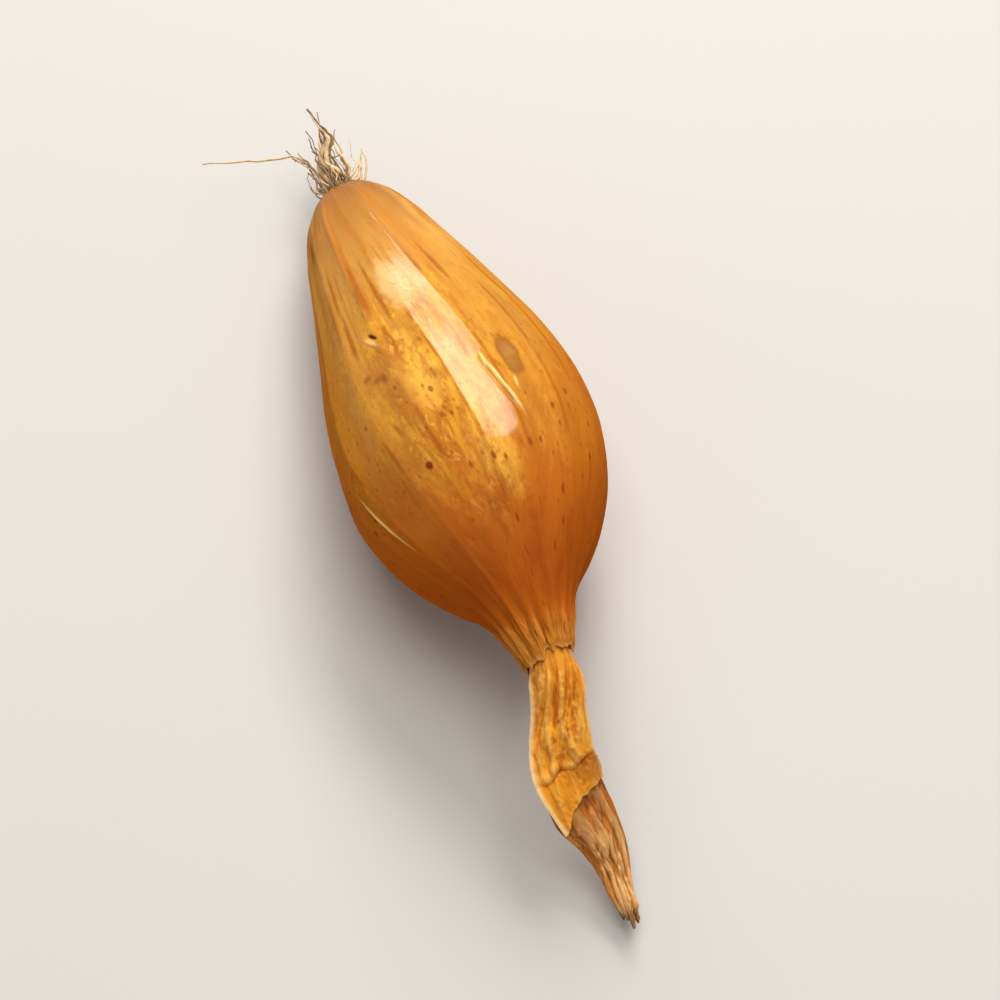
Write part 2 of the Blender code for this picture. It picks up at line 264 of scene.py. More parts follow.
def newPiece(name, points, faces, edges=()):
    mesh = bpy.data.meshes.new(name)
    mesh.from_pydata(points, list(edges), faces)
    obj = bpy.data.objects.new(name, mesh)
    bpy.context.scene.collection.objects.link(obj)
    return obj


def ringMesh(name, points, columns, ends):  # rings one after another, closed by a pole at each end
    rows = len(points) // columns
    faces = []
    for column in range(columns):
        after = (column + 1) % columns
        for row in range(rows - 1):
            a, b = row * columns, (row + 1) * columns
            faces.append((a + column, b + column, b + after, a + after))
        b = (rows - 1) * columns
        faces.append((len(points), column, after))
        faces.append((len(points) + 1, b + after, b + column))
    return newPiece(name, points + list(ends), faces)


def storeNumbers(obj, name, values):
    obj.data.attributes.new(name, "FLOAT", "POINT").data.foreach_set("value", values)


def storePlaces(obj, name, places):
    flat = [number for place in places for number in place]
    obj.data.attributes.new(name, "FLOAT_VECTOR", "POINT").data.foreach_set("vector", flat)


def handOver(obj, slot, *nodes):
    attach(obj, "root")
    if nodes:
        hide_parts(*nodes)


# Paint in layers: sources are values on the surface, areas are products of eased sources

def noiseSources(bench, place, table, axis):  # rows end in a factor for the place along the axis
    sources = {}
    for name, (*settings, stretch) in table.items():
        factors = [stretch if i == axis else 1.0 for i in range(3)]
        sources[name] = bench.noise(bench.stretch(place, *factors), *settings)
    return sources


def areaMasks(bench, sources, table):
    areas = {"all": 1.0}
    for name, terms in table.items():
        areas[name] = 1.0
        for source, *limits in terms:
            areas[name] = bench.ease(sources[source], *limits) * areas[name]
    return areas


def paintLayer(finish, colour, sources, areas, layer):
    source, limits, strengths, shade = layer
    strength = sum(areas[area] * share for area, share in strengths.items())
    return finish.tint(finish.ease(sources[source], *limits) * strength, colour, shade)


# Camera, table and light

studio = {
    "azimuth": -21.2,  # degrees round the object, as in the photograph
    "elevation": 67.0,
    "lens": 200.0,  # mm: long, so that the bulb isn't drawn out
    "frameWidth": 0.0715,  # metres across the picture, at the object
    "aim": (0.001, -0.0062, 0.007),
    "floorSize": 6.0,
    "floorColour": (0.6, 0.585, 0.56),
    "world": (1.0, 0.98, 0.95),
    "worldStrength": 0.34,
    "keyEnds": ((0.05, 0.956, 0.29), (0.43, 0.193, 0.88)),  # directions of the strip light's ends
    "keyShift": 0.022,  # metres sideways, towards its own middle arc
    "keyDistance": 0.5,
    "keyWidth": 0.13,
    "keyPower": 2.1,
    "keyColour": (1.0, 0.965, 0.91),
    "fillPlace": (0.08, 0.18, 1.3),
    "fillSize": 0.8,
    "fillPower": 9.0,
    "fillColour": (1.0, 0.98, 0.95),
}


def makeCamera():
    a, e = math.radians(studio["azimuth"]), math.radians(studio["elevation"])
    back = Vector((math.sin(a) * math.cos(e), -math.cos(a) * math.cos(e), math.sin(e)))
    data = bpy.data.cameras.new("camera")
    data.lens = studio["lens"]
    camera = bpy.data.objects.new("camera", data)
    distance = studio["frameWidth"] * data.lens / data.sensor_width
    camera.location = Vector(studio["aim"]) + back * distance
    camera.rotation_euler = (-back).to_track_quat("-Z", "Y").to_euler()
    data.clip_start, data.clip_end = 0.01, 20.0
    bpy.context.scene.collection.objects.link(camera)
    bpy.context.scene.camera = camera


def makeFloor():
    half = studio["floorSize"] / 2
    corners = [(-half, -half, 0.0), (half, -half, 0.0), (half, half, 0.0), (-half, half, 0.0)]
    floor = newPiece("floor", corners, [(0, 1, 2, 3)])
    finish = Finish("table", {"Roughness": 0.75, "Specular IOR Level": 0.2})
    haze = finish.noise(finish.object(), 9.0, 4.0)
    low = tuple(0.97 * c for c in studio["floorColour"])
    finish.set("Base Color", finish.tint(haze, low, studio["floorColour"]))
    floor.data.materials.append(finish.material)
    floor.visible_glossy = False  # a pale table would grey the glossy sides


def areaLight(name, place, along, width, length, power, colour):
    data = bpy.data.lights.new(name, "AREA")
    data.shape = "RECTANGLE"
    data.size, data.size_y = length, width
    data.energy, data.color = power, colour
    lamp = bpy.data.objects.new(name, data)
    x = Vector(along).normalized()
    z = Vector(place)
    z = (z - x * z.dot(x)).normalized()
    turn = Matrix((x, z.cross(x), z)).transposed()
    lamp.matrix_world = Matrix.Translation(place) @ turn.to_4x4()
    bpy.context.scene.collection.objects.link(lamp)
    return lamp


def makeLights():
    first, last = (Vector(end) * studio["keyDistance"] for end in studio["keyEnds"])
    sideways = first.cross(last).normalized()
    middle = (first + last) / 2 + sideways * studio["keyShift"]
    span = last - first
    areaLight("key", middle, span, studio["keyWidth"], span.length, studio["keyPower"], studio["keyColour"])
    place, size, power = studio["fillPlace"], studio["fillSize"], studio["fillPower"]
    fill = areaLight("fill", place, (1.0, 0.0, 0.0), size, size, power, studio["fillColour"])
    fill.visible_glossy = False  # only the strip light shows as a highlight
    world = bpy.data.worlds.new("studio")
    world.use_nodes = True
    sky = world.node_tree.nodes["Background"]
    sky.inputs["Color"].default_value = (*studio["world"], 1.0)
    sky.inputs["Strength"].default_value = studio["worldStrength"]
    bpy.context.scene.world = world
    bpy.context.scene.view_settings.view_transform = "Standard"


makeCamera()
makeFloor()
makeLights()
print("stage: camera, table and lights")


# The bulb in its tunic

bulb = {
    "length": 0.0417,  # metres, root end to neck rim
    "radius": 0.0095,  # at the belly
    "outline": (  # (share of the length, share of the radius)
        (0.0, 0.2), (0.02, 0.29), (0.052, 0.39), (0.109, 0.5), (0.16, 0.568), (0.245, 0.68),
        (0.33, 0.788), (0.424, 0.905), (0.52, 0.982), (0.595, 1.0), (0.655, 0.98), (0.73, 0.888),
        (0.795, 0.745), (0.845, 0.595), (0.89, 0.44), (0.94, 0.312), (1.0, 0.235),
    ),
    "rows": ((0.0, 0.06, 26), (0.06, 0.84, 138), (0.84, 1.0, 76)),  # rings between two shares
    "bow": 3.0,  # degrees
    "bowSpan": (0.15, 0.75),
    "lumpiness": 0.016,
    "lumpScale": 1.3,
    "lumpStretch": 2.6,
    "flatDepth": 0.00035,
    "strips": 18,
    "columnsPerStrip": 20,
    "topStripTurn": 85.7,  # degrees round to the middle of the bright flat strip
    "stripTwist": -29.0,
    "veinStray": 0.24,
    "veinRound": 0.22,  # share of half a strip
    "flatsFade": (0.45, 0.8),
    "topFlatFade": (0.675, 0.735),  # the bright strip ends more sharply than the others
    "bellyFlatness": 0.25,
    "sunnyTurn": 101.0,  # the middle of the pale yellow flecked part
    "topTurn": 97.0,  # the side towards the light
    "pleatStart": 0.885,
    "pleatDepth": 0.13,
    "rimCalm": 0.6,  # the pleats flatten out at the very rim
    "collarStart": 0.965,
    "collarTear": 0.001,
    "tearSeed": 3.1,
    "tearScale": 2.4,
    "rimTear": 0.00026,  # small teeth of the torn rim
    "teethScale": 5.0,
    "rimSpan": (0.975, 1.0),
    "rimWall": 0.0001,
    "rimSqueeze": 0.17,  # the dry rim shrinks on to the leaf
    "squeezeSpan": (0.958, 0.998),
    "tongues": (  # (turn, metres, half width in degrees)
        (58.0, 0.0007, 16.0), (104.0, 0.0003, 12.0), (146.0, 0.0009, 17.0), (20.0, 0.0004, 14.0),
        (84.0, 0.0004, 8.0), (118.0, 0.0004, 8.0), (210.0, 0.0008, 15.0), (300.0, 0.0007, 14.0),
    ),
    "neckBendStart": 0.83,
    "neckHeading": 1.0,
    "neckPitch": -6.0,
    "gap": 0.0003,
    "neckWall": 0.00042,
    "neckSocketDepth": 0.0024,
    "rootWall": 0.0004,
    "rootSocketDepth": 0.0009,
    "seed": 11,
}

# Marks on the skin: (share of the length, turn in degrees, half length and half width in mm, tilt)
marks = {
    "blemish": ((0.551, 64.0, 1.95, 0.86, -8.0),),
    "chip": ((0.414, 119.7, 0.55, 0.17, 32.0),),
    "chipEdge": ((0.424, 121.5, 0.75, 0.16, 32.0),),
    "redDot": ((0.707, 117.9, 0.3, 0.27, 0.0),),
    # the first three are yellow patches of the skin; the last three, below the end of the bright strip, are
    # a painted glow of light
    "yellow": (
        (0.476, 106.3, 1.9, 0.7, 0.0), (0.54, 104.0, 2.1, 0.8, 0.0), (0.585, 107.0, 1.5, 0.75, 10.0),
        (0.64, 84.0, 2.2, 0.8, 0.0), (0.71, 90.0, 1.8, 0.9, 0.0), (0.73, 84.5, 2.2, 1.0, 0.0),
    ),
    "specks": (
        (0.514, 120.7, 0.42, 0.24, 0.0), (0.507, 125.0, 0.24, 0.4, 0.0), (0.49, 129.3, 0.3, 0.34, 0.0),
        (0.62, 124.0, 0.55, 0.16, 10.0), (0.56, 99.5, 0.4, 0.14, 0.0), (0.872, 83.0, 0.4, 0.14, 40.0),
    ),
    "streaks": (
        (0.28, 119.5, 3.6, 0.26, 0.0), (0.325, 109.5, 3.9, 0.2, 0.0), (0.385, 133.0, 2.2, 0.26, 0.0),
        (0.25, 138.0, 2.4, 0.24, 0.0), (0.44, 112.0, 1.8, 0.24, 0.0), (0.3, 70.0, 2.0, 0.24, 0.0),
    ),
    "shades": (
        (0.505, 124.0, 1.7, 1.3, 0.0), (0.69, 130.0, 2.4, 2.2, 0.0), (0.6, 116.0, 1.8, 0.9, 0.0),
        (0.64, 60.0, 2.2, 0.6, 0.0), (0.705, 66.0, 2.0, 0.5, 0.0), (0.665, 45.0, 2.6, 0.8, 0.0),
    ),
    "rootSpot": ((0.116, 155.0, 0.95, 0.42, 0.0),),
    "squiggles": ((0.75, 98.0, 2.6, 2.8, 0.0),),
    "crackle": ((0.365, 94.0, 4.6, 1.15, 0.0),),
    # a pale dry patch that is also a painted highlight, widening the top of the bright strip's reflection
    "dryPatchAndHighlight": ((0.325, 99.0, 2.7, 1.15, 0.0),),
    "flakes": (
        (0.59, 75.0, 1.0, 0.14, 8.0), (0.636, 71.2, 1.3, 0.13, 14.0), (0.56, 77.5, 0.6, 0.11, -8.0),
        (0.612, 67.0, 0.42, 0.1, -10.0), (0.72, 159.0, 2.3, 0.12, 6.0),
    ),
    # cuts in the skin, their dark colour partly a painted shadow beside the pale flakes
    "slitsAndShadows": (
        (0.58, 77.6, 0.8, 0.09, 10.0), (0.632, 73.4, 0.8, 0.08, 16.0),
    ),
}


def bulbRadius(share):
    return bulb["radius"] * along(bulb["outline"], min(1.0, max(0.0, share)))


def restingPlace():  # the share where the bulb touches the ground, and its slope there
    steps = 200
    shares = [(i + 0.5) / steps for i in range(steps)]
    areas = [bulbRadius(s) ** 2 for s in shares]
    weight = sum(s * a for s, a in zip(shares, areas)) / sum(areas)
    step = 0.002
    share = weight
    slope = 0.0
    while share > 0.0:
        slope = (bulbRadius(share + step) - bulbRadius(share - step)) / (2 * step * bulb["length"])
        if share + bulbRadius(share) * slope / bulb["length"] <= weight:
            break
        share -= step
    return share, slope


def bulbAxis():
    touch, slope = restingPlace()
    lie = math.degrees(math.atan(slope))
    bow, bend = bulb["bow"], bulb["neckBendStart"]

    def heading(share):
        bowed = blend(-bow, bow, smoothstep(*bulb["bowSpan"], share))
        return bowed + (bulb["neckHeading"] - bow) * smoothstep(bend, 1.0, share)

    def pitch(share):
        return blend(lie, bulb["neckPitch"], smoothstep(bend, 1.0, share))

    axis = walk(Vector(), bulb["length"], heading, pitch, 160)
    low = stationAt(axis, touch)
    shift = Vector((0.0, 0.0, -bulb["flatDepth"])) - (low.point - low.up * bulbRadius(touch))
    return [here._replace(point=here.point + shift) for here in axis]


def veinAngles():
    rng = random.Random(bulb["seed"])
    count, stray = bulb["strips"], bulb["veinStray"]
    step = 2 * math.pi / count
    first = math.radians(bulb["topStripTurn"]) - step / 2
    strays = [0.0, 0.0] + [rng.uniform(-stray, stray) for k in range(count - 2)]
    return [first + (k + s) * step for k, s in enumerate(strays)] + [first + 2 * math.pi]


def tunicForm(column, share, veins):  # (turn before the twist, radius factor, share of the strip's width)
    k, t = divmod(column, bulb["columnsPerStrip"])
    t /= bulb["columnsPerStrip"]
    low, high = veins[k], veins[k + 1]
    turn = blend(low, high, t)
    chord = math.cos((high - low) / 2) / math.cos(turn - (low + high) / 2)
    near, span = 1.0 - abs(2.0 * t - 1.0), bulb["veinRound"]
    if near < span:  # the corner along the vein is rounded off
        sag = span + (1.0 - span) / span * near * near
        chord -= (1.0 - math.cos((high - low) / 2)) * (sag - near * (2.0 - near))
    fade = bulb["topFlatFade"] if k == 0 else bulb["flatsFade"]
    flatness = blend(1.0, bulb["bellyFlatness"], smoothstep(*fade, share))
    factor = blend(1.0, chord, flatness)
    spot = Vector((math.cos(turn), math.sin(turn), share * bulb["lumpStretch"]))
    factor *= 1.0 + bulb["lumpiness"] * noise.noise(spot * bulb["lumpScale"])
    gather = smoothstep(bulb["pleatStart"], 1.0, share)
    gather *= 1.0 - bulb["rimCalm"] * smoothstep(*bulb["rimSpan"], share)
    factor *= 1.0 - bulb["pleatDepth"] * gather * math.sin(math.pi * t) ** 2
    return turn, factor, t


def skinPlace(share, turn):  # a place on the skin rolled out to a tube of the belly's size, in mm
    radius = bulb["radius"] / mm
    return Vector((math.cos(turn) * radius, math.sin(turn) * radius, share * bulb["length"] / mm))


def untwisted(share, degrees):
    return math.radians(degrees - bulb["stripTwist"] * (share - 0.5))


def bulbRings():  # (share, radius, part) from the bottom of the neck's socket to that of the root's
    length = bulb["length"]
    neck, root = bulbRadius(1.0), bulbRadius(0.0)
    floor = 1.0 - bulb["neckSocketDepth"] / length
    socket = neck - bulb["neckWall"]
    rings = [(floor, socket * s, "inside") for s in (0.4, 0.8, 1.0)]
    for i in range(1, 9):
        share = blend(floor, 1.0, i / 8)
        rings.append((share, blend(socket, neck - bulb["rimWall"], (i / 8) ** 3), "inside"))
    shares = []
    for low, high, count in bulb["rows"]:
        shares += [blend(low, high, i / count) for i in range(count)]
    shares.append(1.0)
    rings += [(share, bulbRadius(share), "skin") for share in reversed(shares)]
    socket = root - bulb["rootWall"]
    deep = bulb["rootSocketDepth"] / length
    rings += [(0.0, blend(root, socket, 0.5), "rootRim"), (0.0, socket, "rootRim")]
    rings += [(deep * i / 3, socket, "inside") for i in (1, 2, 3)]
    rings += [(deep, socket * s, "inside") for s in (0.8, 0.4)]
    return rings


def tongueLength(degrees):  # shreds of the dry rim that reach out over the leaf
    total = 0.0
    for place, length, width in bulb["tongues"]:
        apart = (degrees - place + 180.0) % 360.0 - 180.0
        total += length * math.exp(-((apart / width) ** 2))
    return total


def makeTunicMesh(axis):
    veins = veinAngles()
    columns = bulb["strips"] * bulb["columnsPerStrip"]
    rng = random.Random(bulb["seed"] + 1)
    tones = [rng.uniform(-1.0, 1.0) for k in range(bulb["strips"])]
    twist = math.radians(bulb["stripTwist"])
    rings = bulbRings()
    points, skin = [], []
    numbers = {name: [] for name in ("share", "veinGap", "stripTone", "inside", "under", "aside")}

    def note(*values):
        for kept, value in zip(numbers.values(), values):
            kept.append(value)

    for ringShare, radius, part in rings:
        for column in range(columns):
            turn, factor, t = tunicForm(column, min(1.0, max(0.0, ringShare)), veins)
            k = column // bulb["columnsPerStrip"]
            around = Vector((math.cos(turn), math.sin(turn), 0.0))
            rim = smoothstep(bulb["collarStart"], 1.0, ringShare)
            # the solid's own tear reads its noise at tearSeed, before the scale
            tear = noise.noise((around + Vector((0.0, 0.0, bulb["tearSeed"]))) * bulb["tearScale"])
            angle = turn + twist * (ringShare - 0.5)
            teeth = noise.noise(around * bulb["teethScale"] + Vector((bulb["teethScale"], 0.0, 0.0)))
            torn = bulb["rimTear"] * teeth + tongueLength(math.degrees(angle))
            reach = bulb["collarTear"] * tear * rim + torn * smoothstep(*bulb["rimSpan"], ringShare)
            here = stationAt(axis, ringShare + reach / bulb["length"])
            offset = here.side * math.cos(angle) + here.up * math.sin(angle)
            squeeze = 1.0 - bulb["rimSqueeze"] * smoothstep(*bulb["squeezeSpan"], ringShare)
            points.append(here.point + offset * (radius * factor * squeeze))
            skin.append(skinPlace(ringShare, turn))
            gap = min(t, 1.0 - t) * (veins[k + 1] - veins[k]) * radius / mm
            # 0 on the side towards the light, 1 on the far side: it sets the painted shade and thins the
            # coat there
            under = (1.0 - math.cos(angle - math.radians(bulb["topTurn"]))) / 2
            aside = abs((math.degrees(angle) - bulb["sunnyTurn"] + 180.0) % 360.0 - 180.0)
            note(ringShare, gap, tones[k], 1.0 if part == "inside" else 0.0, under, aside)
    ends = []
    for row in (0, len(rings) - 1):
        ring = points[row * columns:(row + 1) * columns]
        ends.append(sum(ring, Vector()) / columns)
        skin.append(skinPlace(rings[row][0], 0.0))
        note(rings[row][0], 1.0, 0.0, 1.0, 0.5, 90.0)
    obj = ringMesh("bulb_tunic", points, columns, ends)
    storePlaces(obj, "skin", skin)
    for name, values in numbers.items():
        storeNumbers(obj, name, values)
    return obj


def markMask(bench, skin, mark, soft, ragged=None):  # 1 inside an oval on the skin, 0 outside
    share, degrees, halfLength, halfWidth, tilt = mark
    turn = untwisted(share, degrees)
    centre = skinPlace(share, turn)
    offset = bench.vector("SUBTRACT", skin, tuple(centre))
    lean = math.radians(tilt)
    across = Vector((-math.sin(turn), math.cos(turn), 0.0))
    up = Vector((0.0, 0.0, 1.0))
    u = bench.vector("DOT_PRODUCT", offset, tuple(across * math.cos(lean) + up * math.sin(lean)))
    v = bench.vector("DOT_PRODUCT", offset, tuple(up * math.cos(lean) - across * math.sin(lean)))
    deep = 4.0  # mm, so that no mark shows through on the far side
    w = bench.vector("DOT_PRODUCT", offset, (math.cos(turn), math.sin(turn), 0.0)) / deep
    u, v = u / halfWidth, v / halfLength
    distance = bench.maths("SQRT", u * u + v * v + w * w)
    if ragged is not None:
        distance = distance + ragged
    return bench.ease(distance, 1.0 + soft, 1.0 - soft)


relief = {  # heights in metres
    "Vein Height": 0.00006,
    "Fibre Height": 0.00003,
    "Neck Wrinkle Height": 0.00022,
    "Root Pucker Height": 0.00017,
    "Scar Depth": 0.0001,
    "Flake Height": 0.00013,
    "Seam Height": 0.00006,
}

reliefNoises = {  # scale, detail, roughness, distortion, factor along the bulb: below 1 draws it out
    "broad": (0.6, 3.0, 0.55, 0.3, 0.1),
    "fine": (2.1, 4.0, 0.6, 0.0, 0.1),
    "folds": (0.62, 4.0, 0.62, 0.5, 0.16),
    "crumple": (0.55, 4.0, 0.62, 0.8, 0.5),
    "pucker": (0.45, 3.0, 0.5, 0.0, 0.25),
    "seams": (0.28, 2.0, 0.5, 0.0, 0.1),
    "ragged": (1.3, 3.0, 0.5, 0.0, 1.0),
}

reliefAreas = {  # what it follows, where it starts and where it is full
    "body": (("share", 0.02, 0.1), ("share", 1.0, 0.86)),
    "glossy": (("share", 0.6, 0.72, 0.55, 1.0),),
    "gathered": (("share", 0.875, 0.985),),
    "dry": (("share", 0.915, 0.975),),
    "rooty": (("share", 0.16, 0.0),),
    "seamed": (("veinGap", 0.3, 0.0), ("seams", 0.45, 0.62)),
    "outside": (("share", 1.0, 0.988), ("inside", 1.0, 0.0)),
}

reliefMarks = (  # kind of mark, softness, height, strength
    ("blemish", 0.16, "Scar Depth", -0.35),
    ("slitsAndShadows", 0.7, "Scar Depth", -0.7),
    ("chipEdge", 0.5, "Flake Height", 0.8),
    ("flakes", 0.6, "Flake Height", 1.0),
)


def makeReliefTree(material):
    tree = Grower("tunic relief", relief)
    skin = tree.attribute("skin", "FLOAT_VECTOR")
    at = noiseSources(tree, skin, reliefNoises, 2)
    for name in ("share", "veinGap", "inside"):
        at[name] = tree.attribute(name)
    area = areaMasks(tree, at, reliefAreas)
    veins = (tree.ridges(at["broad"]) - 0.6) * area["glossy"] * area["body"]
    wrinkles = tree.ridges(at["folds"]) - 0.66 + (tree.ridges(at["crumple"]) - 0.72) * area["dry"] * 1.9
    height = (
        veins * tree.input("Vein Height")
        + (at["fine"] - 0.5) * area["body"] * tree.input("Fibre Height")
        + wrinkles * area["gathered"] * tree.input("Neck Wrinkle Height")
        + (tree.ridges(at["pucker"]) - 0.6) * area["rooty"] * tree.input("Root Pucker Height")
        + area["seamed"] * area["body"] * tree.input("Seam Height")
    )
    chip = tree.ease(markMask(tree, skin, marks["chip"][0], 0.35), 0.0, 1.0)  # eased twice: a steeper wall
    height = height - chip * tree.input("Scar Depth")
    ragged = (at["ragged"] - 0.5) * 0.7
    for kind, soft, label, strength in reliefMarks:
        for mark in marks[kind]:
            mask = markMask(tree, skin, mark, soft, ragged if kind == "blemish" else None)
            height = height + mask * strength * tree.input(label)
    height = height * area["outside"]
    normal = tree.node("GeometryNodeInputNormal")
    offset = tree.node("ShaderNodeVectorMath", {"operation": "SCALE"}, {0: normal, "Scale": height})
    moved = tree.move(tree.input("Geometry"), offset)
    kept = {"Geometry": moved, "Name": "relief", "Value": height / 0.0001}
    tree.close(tree.node("GeometryNodeStoreNamedAttribute", {"data_type": "FLOAT"}, kept), material)
    return tree


tunicFinish = {
    "Specular IOR Level": 0.0,
    "Coat Roughness": 0.09,
    "Coat IOR": 1.45,
    "Subsurface Weight": 0.08,
    "Subsurface Radius": (0.002, 0.0007, 0.0002),
    "Subsurface Scale": 1.0,
}

tunicRamp = (  # (share of the length, colour)
    (0.0, (0.26, 0.1, 0.026)),
    (0.08, (0.4, 0.168, 0.032)),
    (0.2, (0.54, 0.24, 0.042)),
    (0.34, (0.53, 0.24, 0.034)),
    (0.52, (0.53, 0.226, 0.026)),
    (0.66, (0.55, 0.206, 0.02)),
    (0.78, (0.52, 0.138, 0.011)),
    (0.89, (0.37, 0.07, 0.006)),
    (0.95, (0.42, 0.1, 0.008)),
    (1.0, (0.46, 0.145, 0.013)),
)

tunicNoises = {  # the same as above
    "wander": (0.3, 4.0, 0.5, 0.0, 0.45),
    "golden": (0.5, 5.0, 0.65, 0.9, 0.3),
    "brown": (0.9, 6.0, 0.7, 1.1, 0.3),
    "bands": (0.42, 3.0, 0.55, 0.4, 0.07),
    "flecks": (2.5, 4.0, 0.7, 0.4, 0.7),
    "light": (1.9, 4.0, 0.68, 0.6, 0.4),
    "hair": (1.9, 3.0, 0.6, 0.0, 0.035),
    "broken": (0.4, 3.0, 0.5, 0.0, 0.45),
    "blotch": (0.34, 5.0, 0.66, 0.6, 0.75),
    "scarce": (0.36, 2.0, 0.5, 0.0, 1.0),
    "dusty": (0.55, 2.0, 0.5, 0.0, 1.0),
    "patchy": (1.1, 4.0, 0.65, 0.0, 0.45),
    "curls": (0.9, 1.0, 0.5, 1.0, 0.7),
    "curled": (1.1, 2.0, 0.5, 0.0, 1.0),
    "torn": (1.0, 5.0, 0.65, 0.5, 0.6),
    "ragged": (1.3, 3.0, 0.5, 0.0, 1.0),
    "dull": (0.8, 4.0, 0.5, 0.0, 0.2),
    "weave": (4.0, 4.0, 0.65, 0.0, 0.12),
}

tunicAreas = {  # what it follows, where it starts and where it is full
    "middle": (("share", 0.12, 0.3), ("share", 0.86, 0.66)),
    "upper": (("share", 0.55, 0.25),),
    "lower": (("share", 0.68, 0.8), ("share", 0.965, 0.9)),
    "sunny": (("aside", 34.0, 10.0), ("share", 0.26, 0.42), ("share", 0.86, 0.68)),
    "grown": (("share", 0.14, 0.36, 0.35, 1.0),),
    "rootSidesLit": (("share", 0.44, 0.16), ("aside", 26.0, 60.0)),
    "seamed": (("broken", 0.42, 0.54), ("share", 0.06, 0.16), ("share", 0.12, 0.3), ("share", 0.86, 0.66)),
    # how strongly the side away from the light is painted in shade, along the length
    "belly": (("share", 0.3, 0.62, 0.32, 0.74),),
    "creased": (("share", 0.9, 0.96, 0.38, 0.84),),
    "specked": (("scarce", 0.36, 0.5), ("share", 0.38, 0.58)),
    "dusted": (("dusty", 0.4, 0.54), ("share", 0.38, 0.58, 0.35, 1.0)),
}

markPaints = {  # softness, noise of the edge and its strength, strength, colour
    # yellow skin patches, and a painted glow of light below the bright strip
    "yellow": (0.7, "torn", 1.0, 0.5, (0.88, 0.47, 0.07)),
    "shades": (0.8, "torn", 1.0, 0.52, (0.38, 0.11, 0.008)),
    "streaks": (0.6, "torn", 0.4, 0.85, (0.36, 0.1, 0.008)),
    "blemish": (0.2, "ragged", 0.7, 0.8, (0.26, 0.088, 0.013)),
    "specks": (0.8, "ragged", 1.0, 0.6, (0.2, 0.048, 0.005)),
    "chip": (0.35, "ragged", 0.0, 0.95, (0.07, 0.016, 0.004)),
    "chipEdge": (0.5, "ragged", 0.0, 0.55, (0.9, 0.62, 0.28)),
    "redDot": (0.45, "ragged", 0.5, 0.92, (0.17, 0.012, 0.004)),
    # cuts in the skin, darkened partly as a painted shadow beside the flakes
    "slitsAndShadows": (0.7, "ragged", 0.5, 0.7, (0.34, 0.12, 0.012)),
    "flakes": (0.7, "ragged", 0.5, 0.72, (0.95, 0.66, 0.24)),
    "rootSpot": (0.6, "ragged", 1.0, 0.7, (0.16, 0.062, 0.012)),
    "dryPatchAndHighlight": (0.45, "ragged", 0.8, 0.5, (0.97, 0.66, 0.3)),
}

tunicLayers = (  # a kind of mark, or: source, its limits, strength in each area, colour
    ("golden", (0.46, 0.6), {"middle": 0.2, "sunny": 0.34}, (0.84, 0.41, 0.026)),
    # yellow skin patches, and a painted glow of light below the bright strip
    "yellow",
    ("brown", (0.5, 0.62), {"grown": 0.33, "sunnyGrown": 0.21}, (0.4, 0.105, 0.007)),
    ("bands", (0.46, 0.62), {"upper": 0.42}, (0.52, 0.165, 0.014)),
    ("flecks", (0.52, 0.68), {"grown": 0.3, "sunnyGrown": 0.04}, (0.36, 0.09, 0.007)),
    "shades", "streaks",
    ("light", (0.54, 0.7), {"middle": 0.16, "sunny": 0.3}, (0.92, 0.54, 0.07)),
    ("hair", (0.54, 0.68), {"all": 0.14, "upper": 0.36}, (0.4, 0.12, 0.01)),
    # painted light: the sides of the root end made paler, where light falls on them
    ("wander", (0.38, 0.6), {"rootSidesLit": 0.42}, (0.84, 0.48, 0.11)),
    ("veinGap", (0.26, 0.05), {"seamed": 0.55}, (0.32, 0.075, 0.004)),
    ("blotch", (0.49, 0.64), {"lower": 0.55}, (0.3, 0.054, 0.007)),
    ("blotch", (0.44, 0.32), {"lower": 0.3}, (0.56, 0.16, 0.016)),
    # painted shade: a deep red-brown tone on the side turned away from the light
    ("under", (0.08, 0.44), {"belly": 1.0}, (0.4, 0.082, 0.007)),
    # painted shade: the hollows of the neck's wrinkles made darker
    ("relief", (-0.1, -1.3), {"creased": 1.0}, (0.22, 0.05, 0.005)),
    # painted highlight: raised crests, flakes and ridges made paler
    ("relief", (0.45, 1.7), {"all": 0.34}, (0.84, 0.4, 0.07)),
    ("dots", (0.19, 0.09), {"specked": 0.75}, (0.24, 0.045, 0.005)),
    ("dust", (0.26, 0.12), {"dusted": 0.55}, (0.3, 0.064, 0.005)),
    "blemish",
    ("patchy", (0.4, 0.58, 0.45, 0.85), {"heart": 1.0}, (0.42, 0.195, 0.05)),
    "specks", "chip", "chipEdge", "redDot", "slitsAndShadows", "flakes", "rootSpot",
    ("curls", (0.9, 0.98), {"squiggled": 0.2}, (0.93, 0.6, 0.16)),
    # pale dry skin and painted highlight at the top of the bright strip
    "dryPatchAndHighlight",
    ("cracks", (0.05, 0.005), {"crackled": 0.4}, (0.42, 0.17, 0.03)),
    ("rootRing", (0.022, 0.002), {"all": 0.75}, (0.13, 0.052, 0.018)),
    ("share", (0.99, 0.999), {"all": 0.45}, (0.8, 0.42, 0.1)),
)

tunicTint = {
    "stripShades": ((0.95, 0.94, 0.93), (1.05, 1.06, 1.07)),  # the strips differ a little
    "stripSpan": (0.02, 0.14),
    "inside": ((0.1, 0.035, 0.01), (0.44, 0.15, 0.02)),  # painted shade inside the sockets: darkest deep in the neck, lighter near its rim
    "insideSpan": (0.965, 0.995),
    "tornEdge": 3.6,  # how far the noise moves the edge of a mark
    "raggedEdge": 0.9,
    "heartInset": 0.38,
    "dotStretch": 0.62,
    "dotScale": 0.8,
    "dustScale": 1.7,
    "crackScale": 1.9,
    "crackBend": 0.7,
}


def paintMarks(finish, colour, skin, edges, kind):
    soft, edge, ragged, strength, shade = markPaints[kind]
    for mark in marks[kind]:
        mask = markMask(finish, skin, mark, soft, edges[edge] * ragged if ragged else None)
        colour = finish.tint(mask * strength, colour, shade)
    return colour


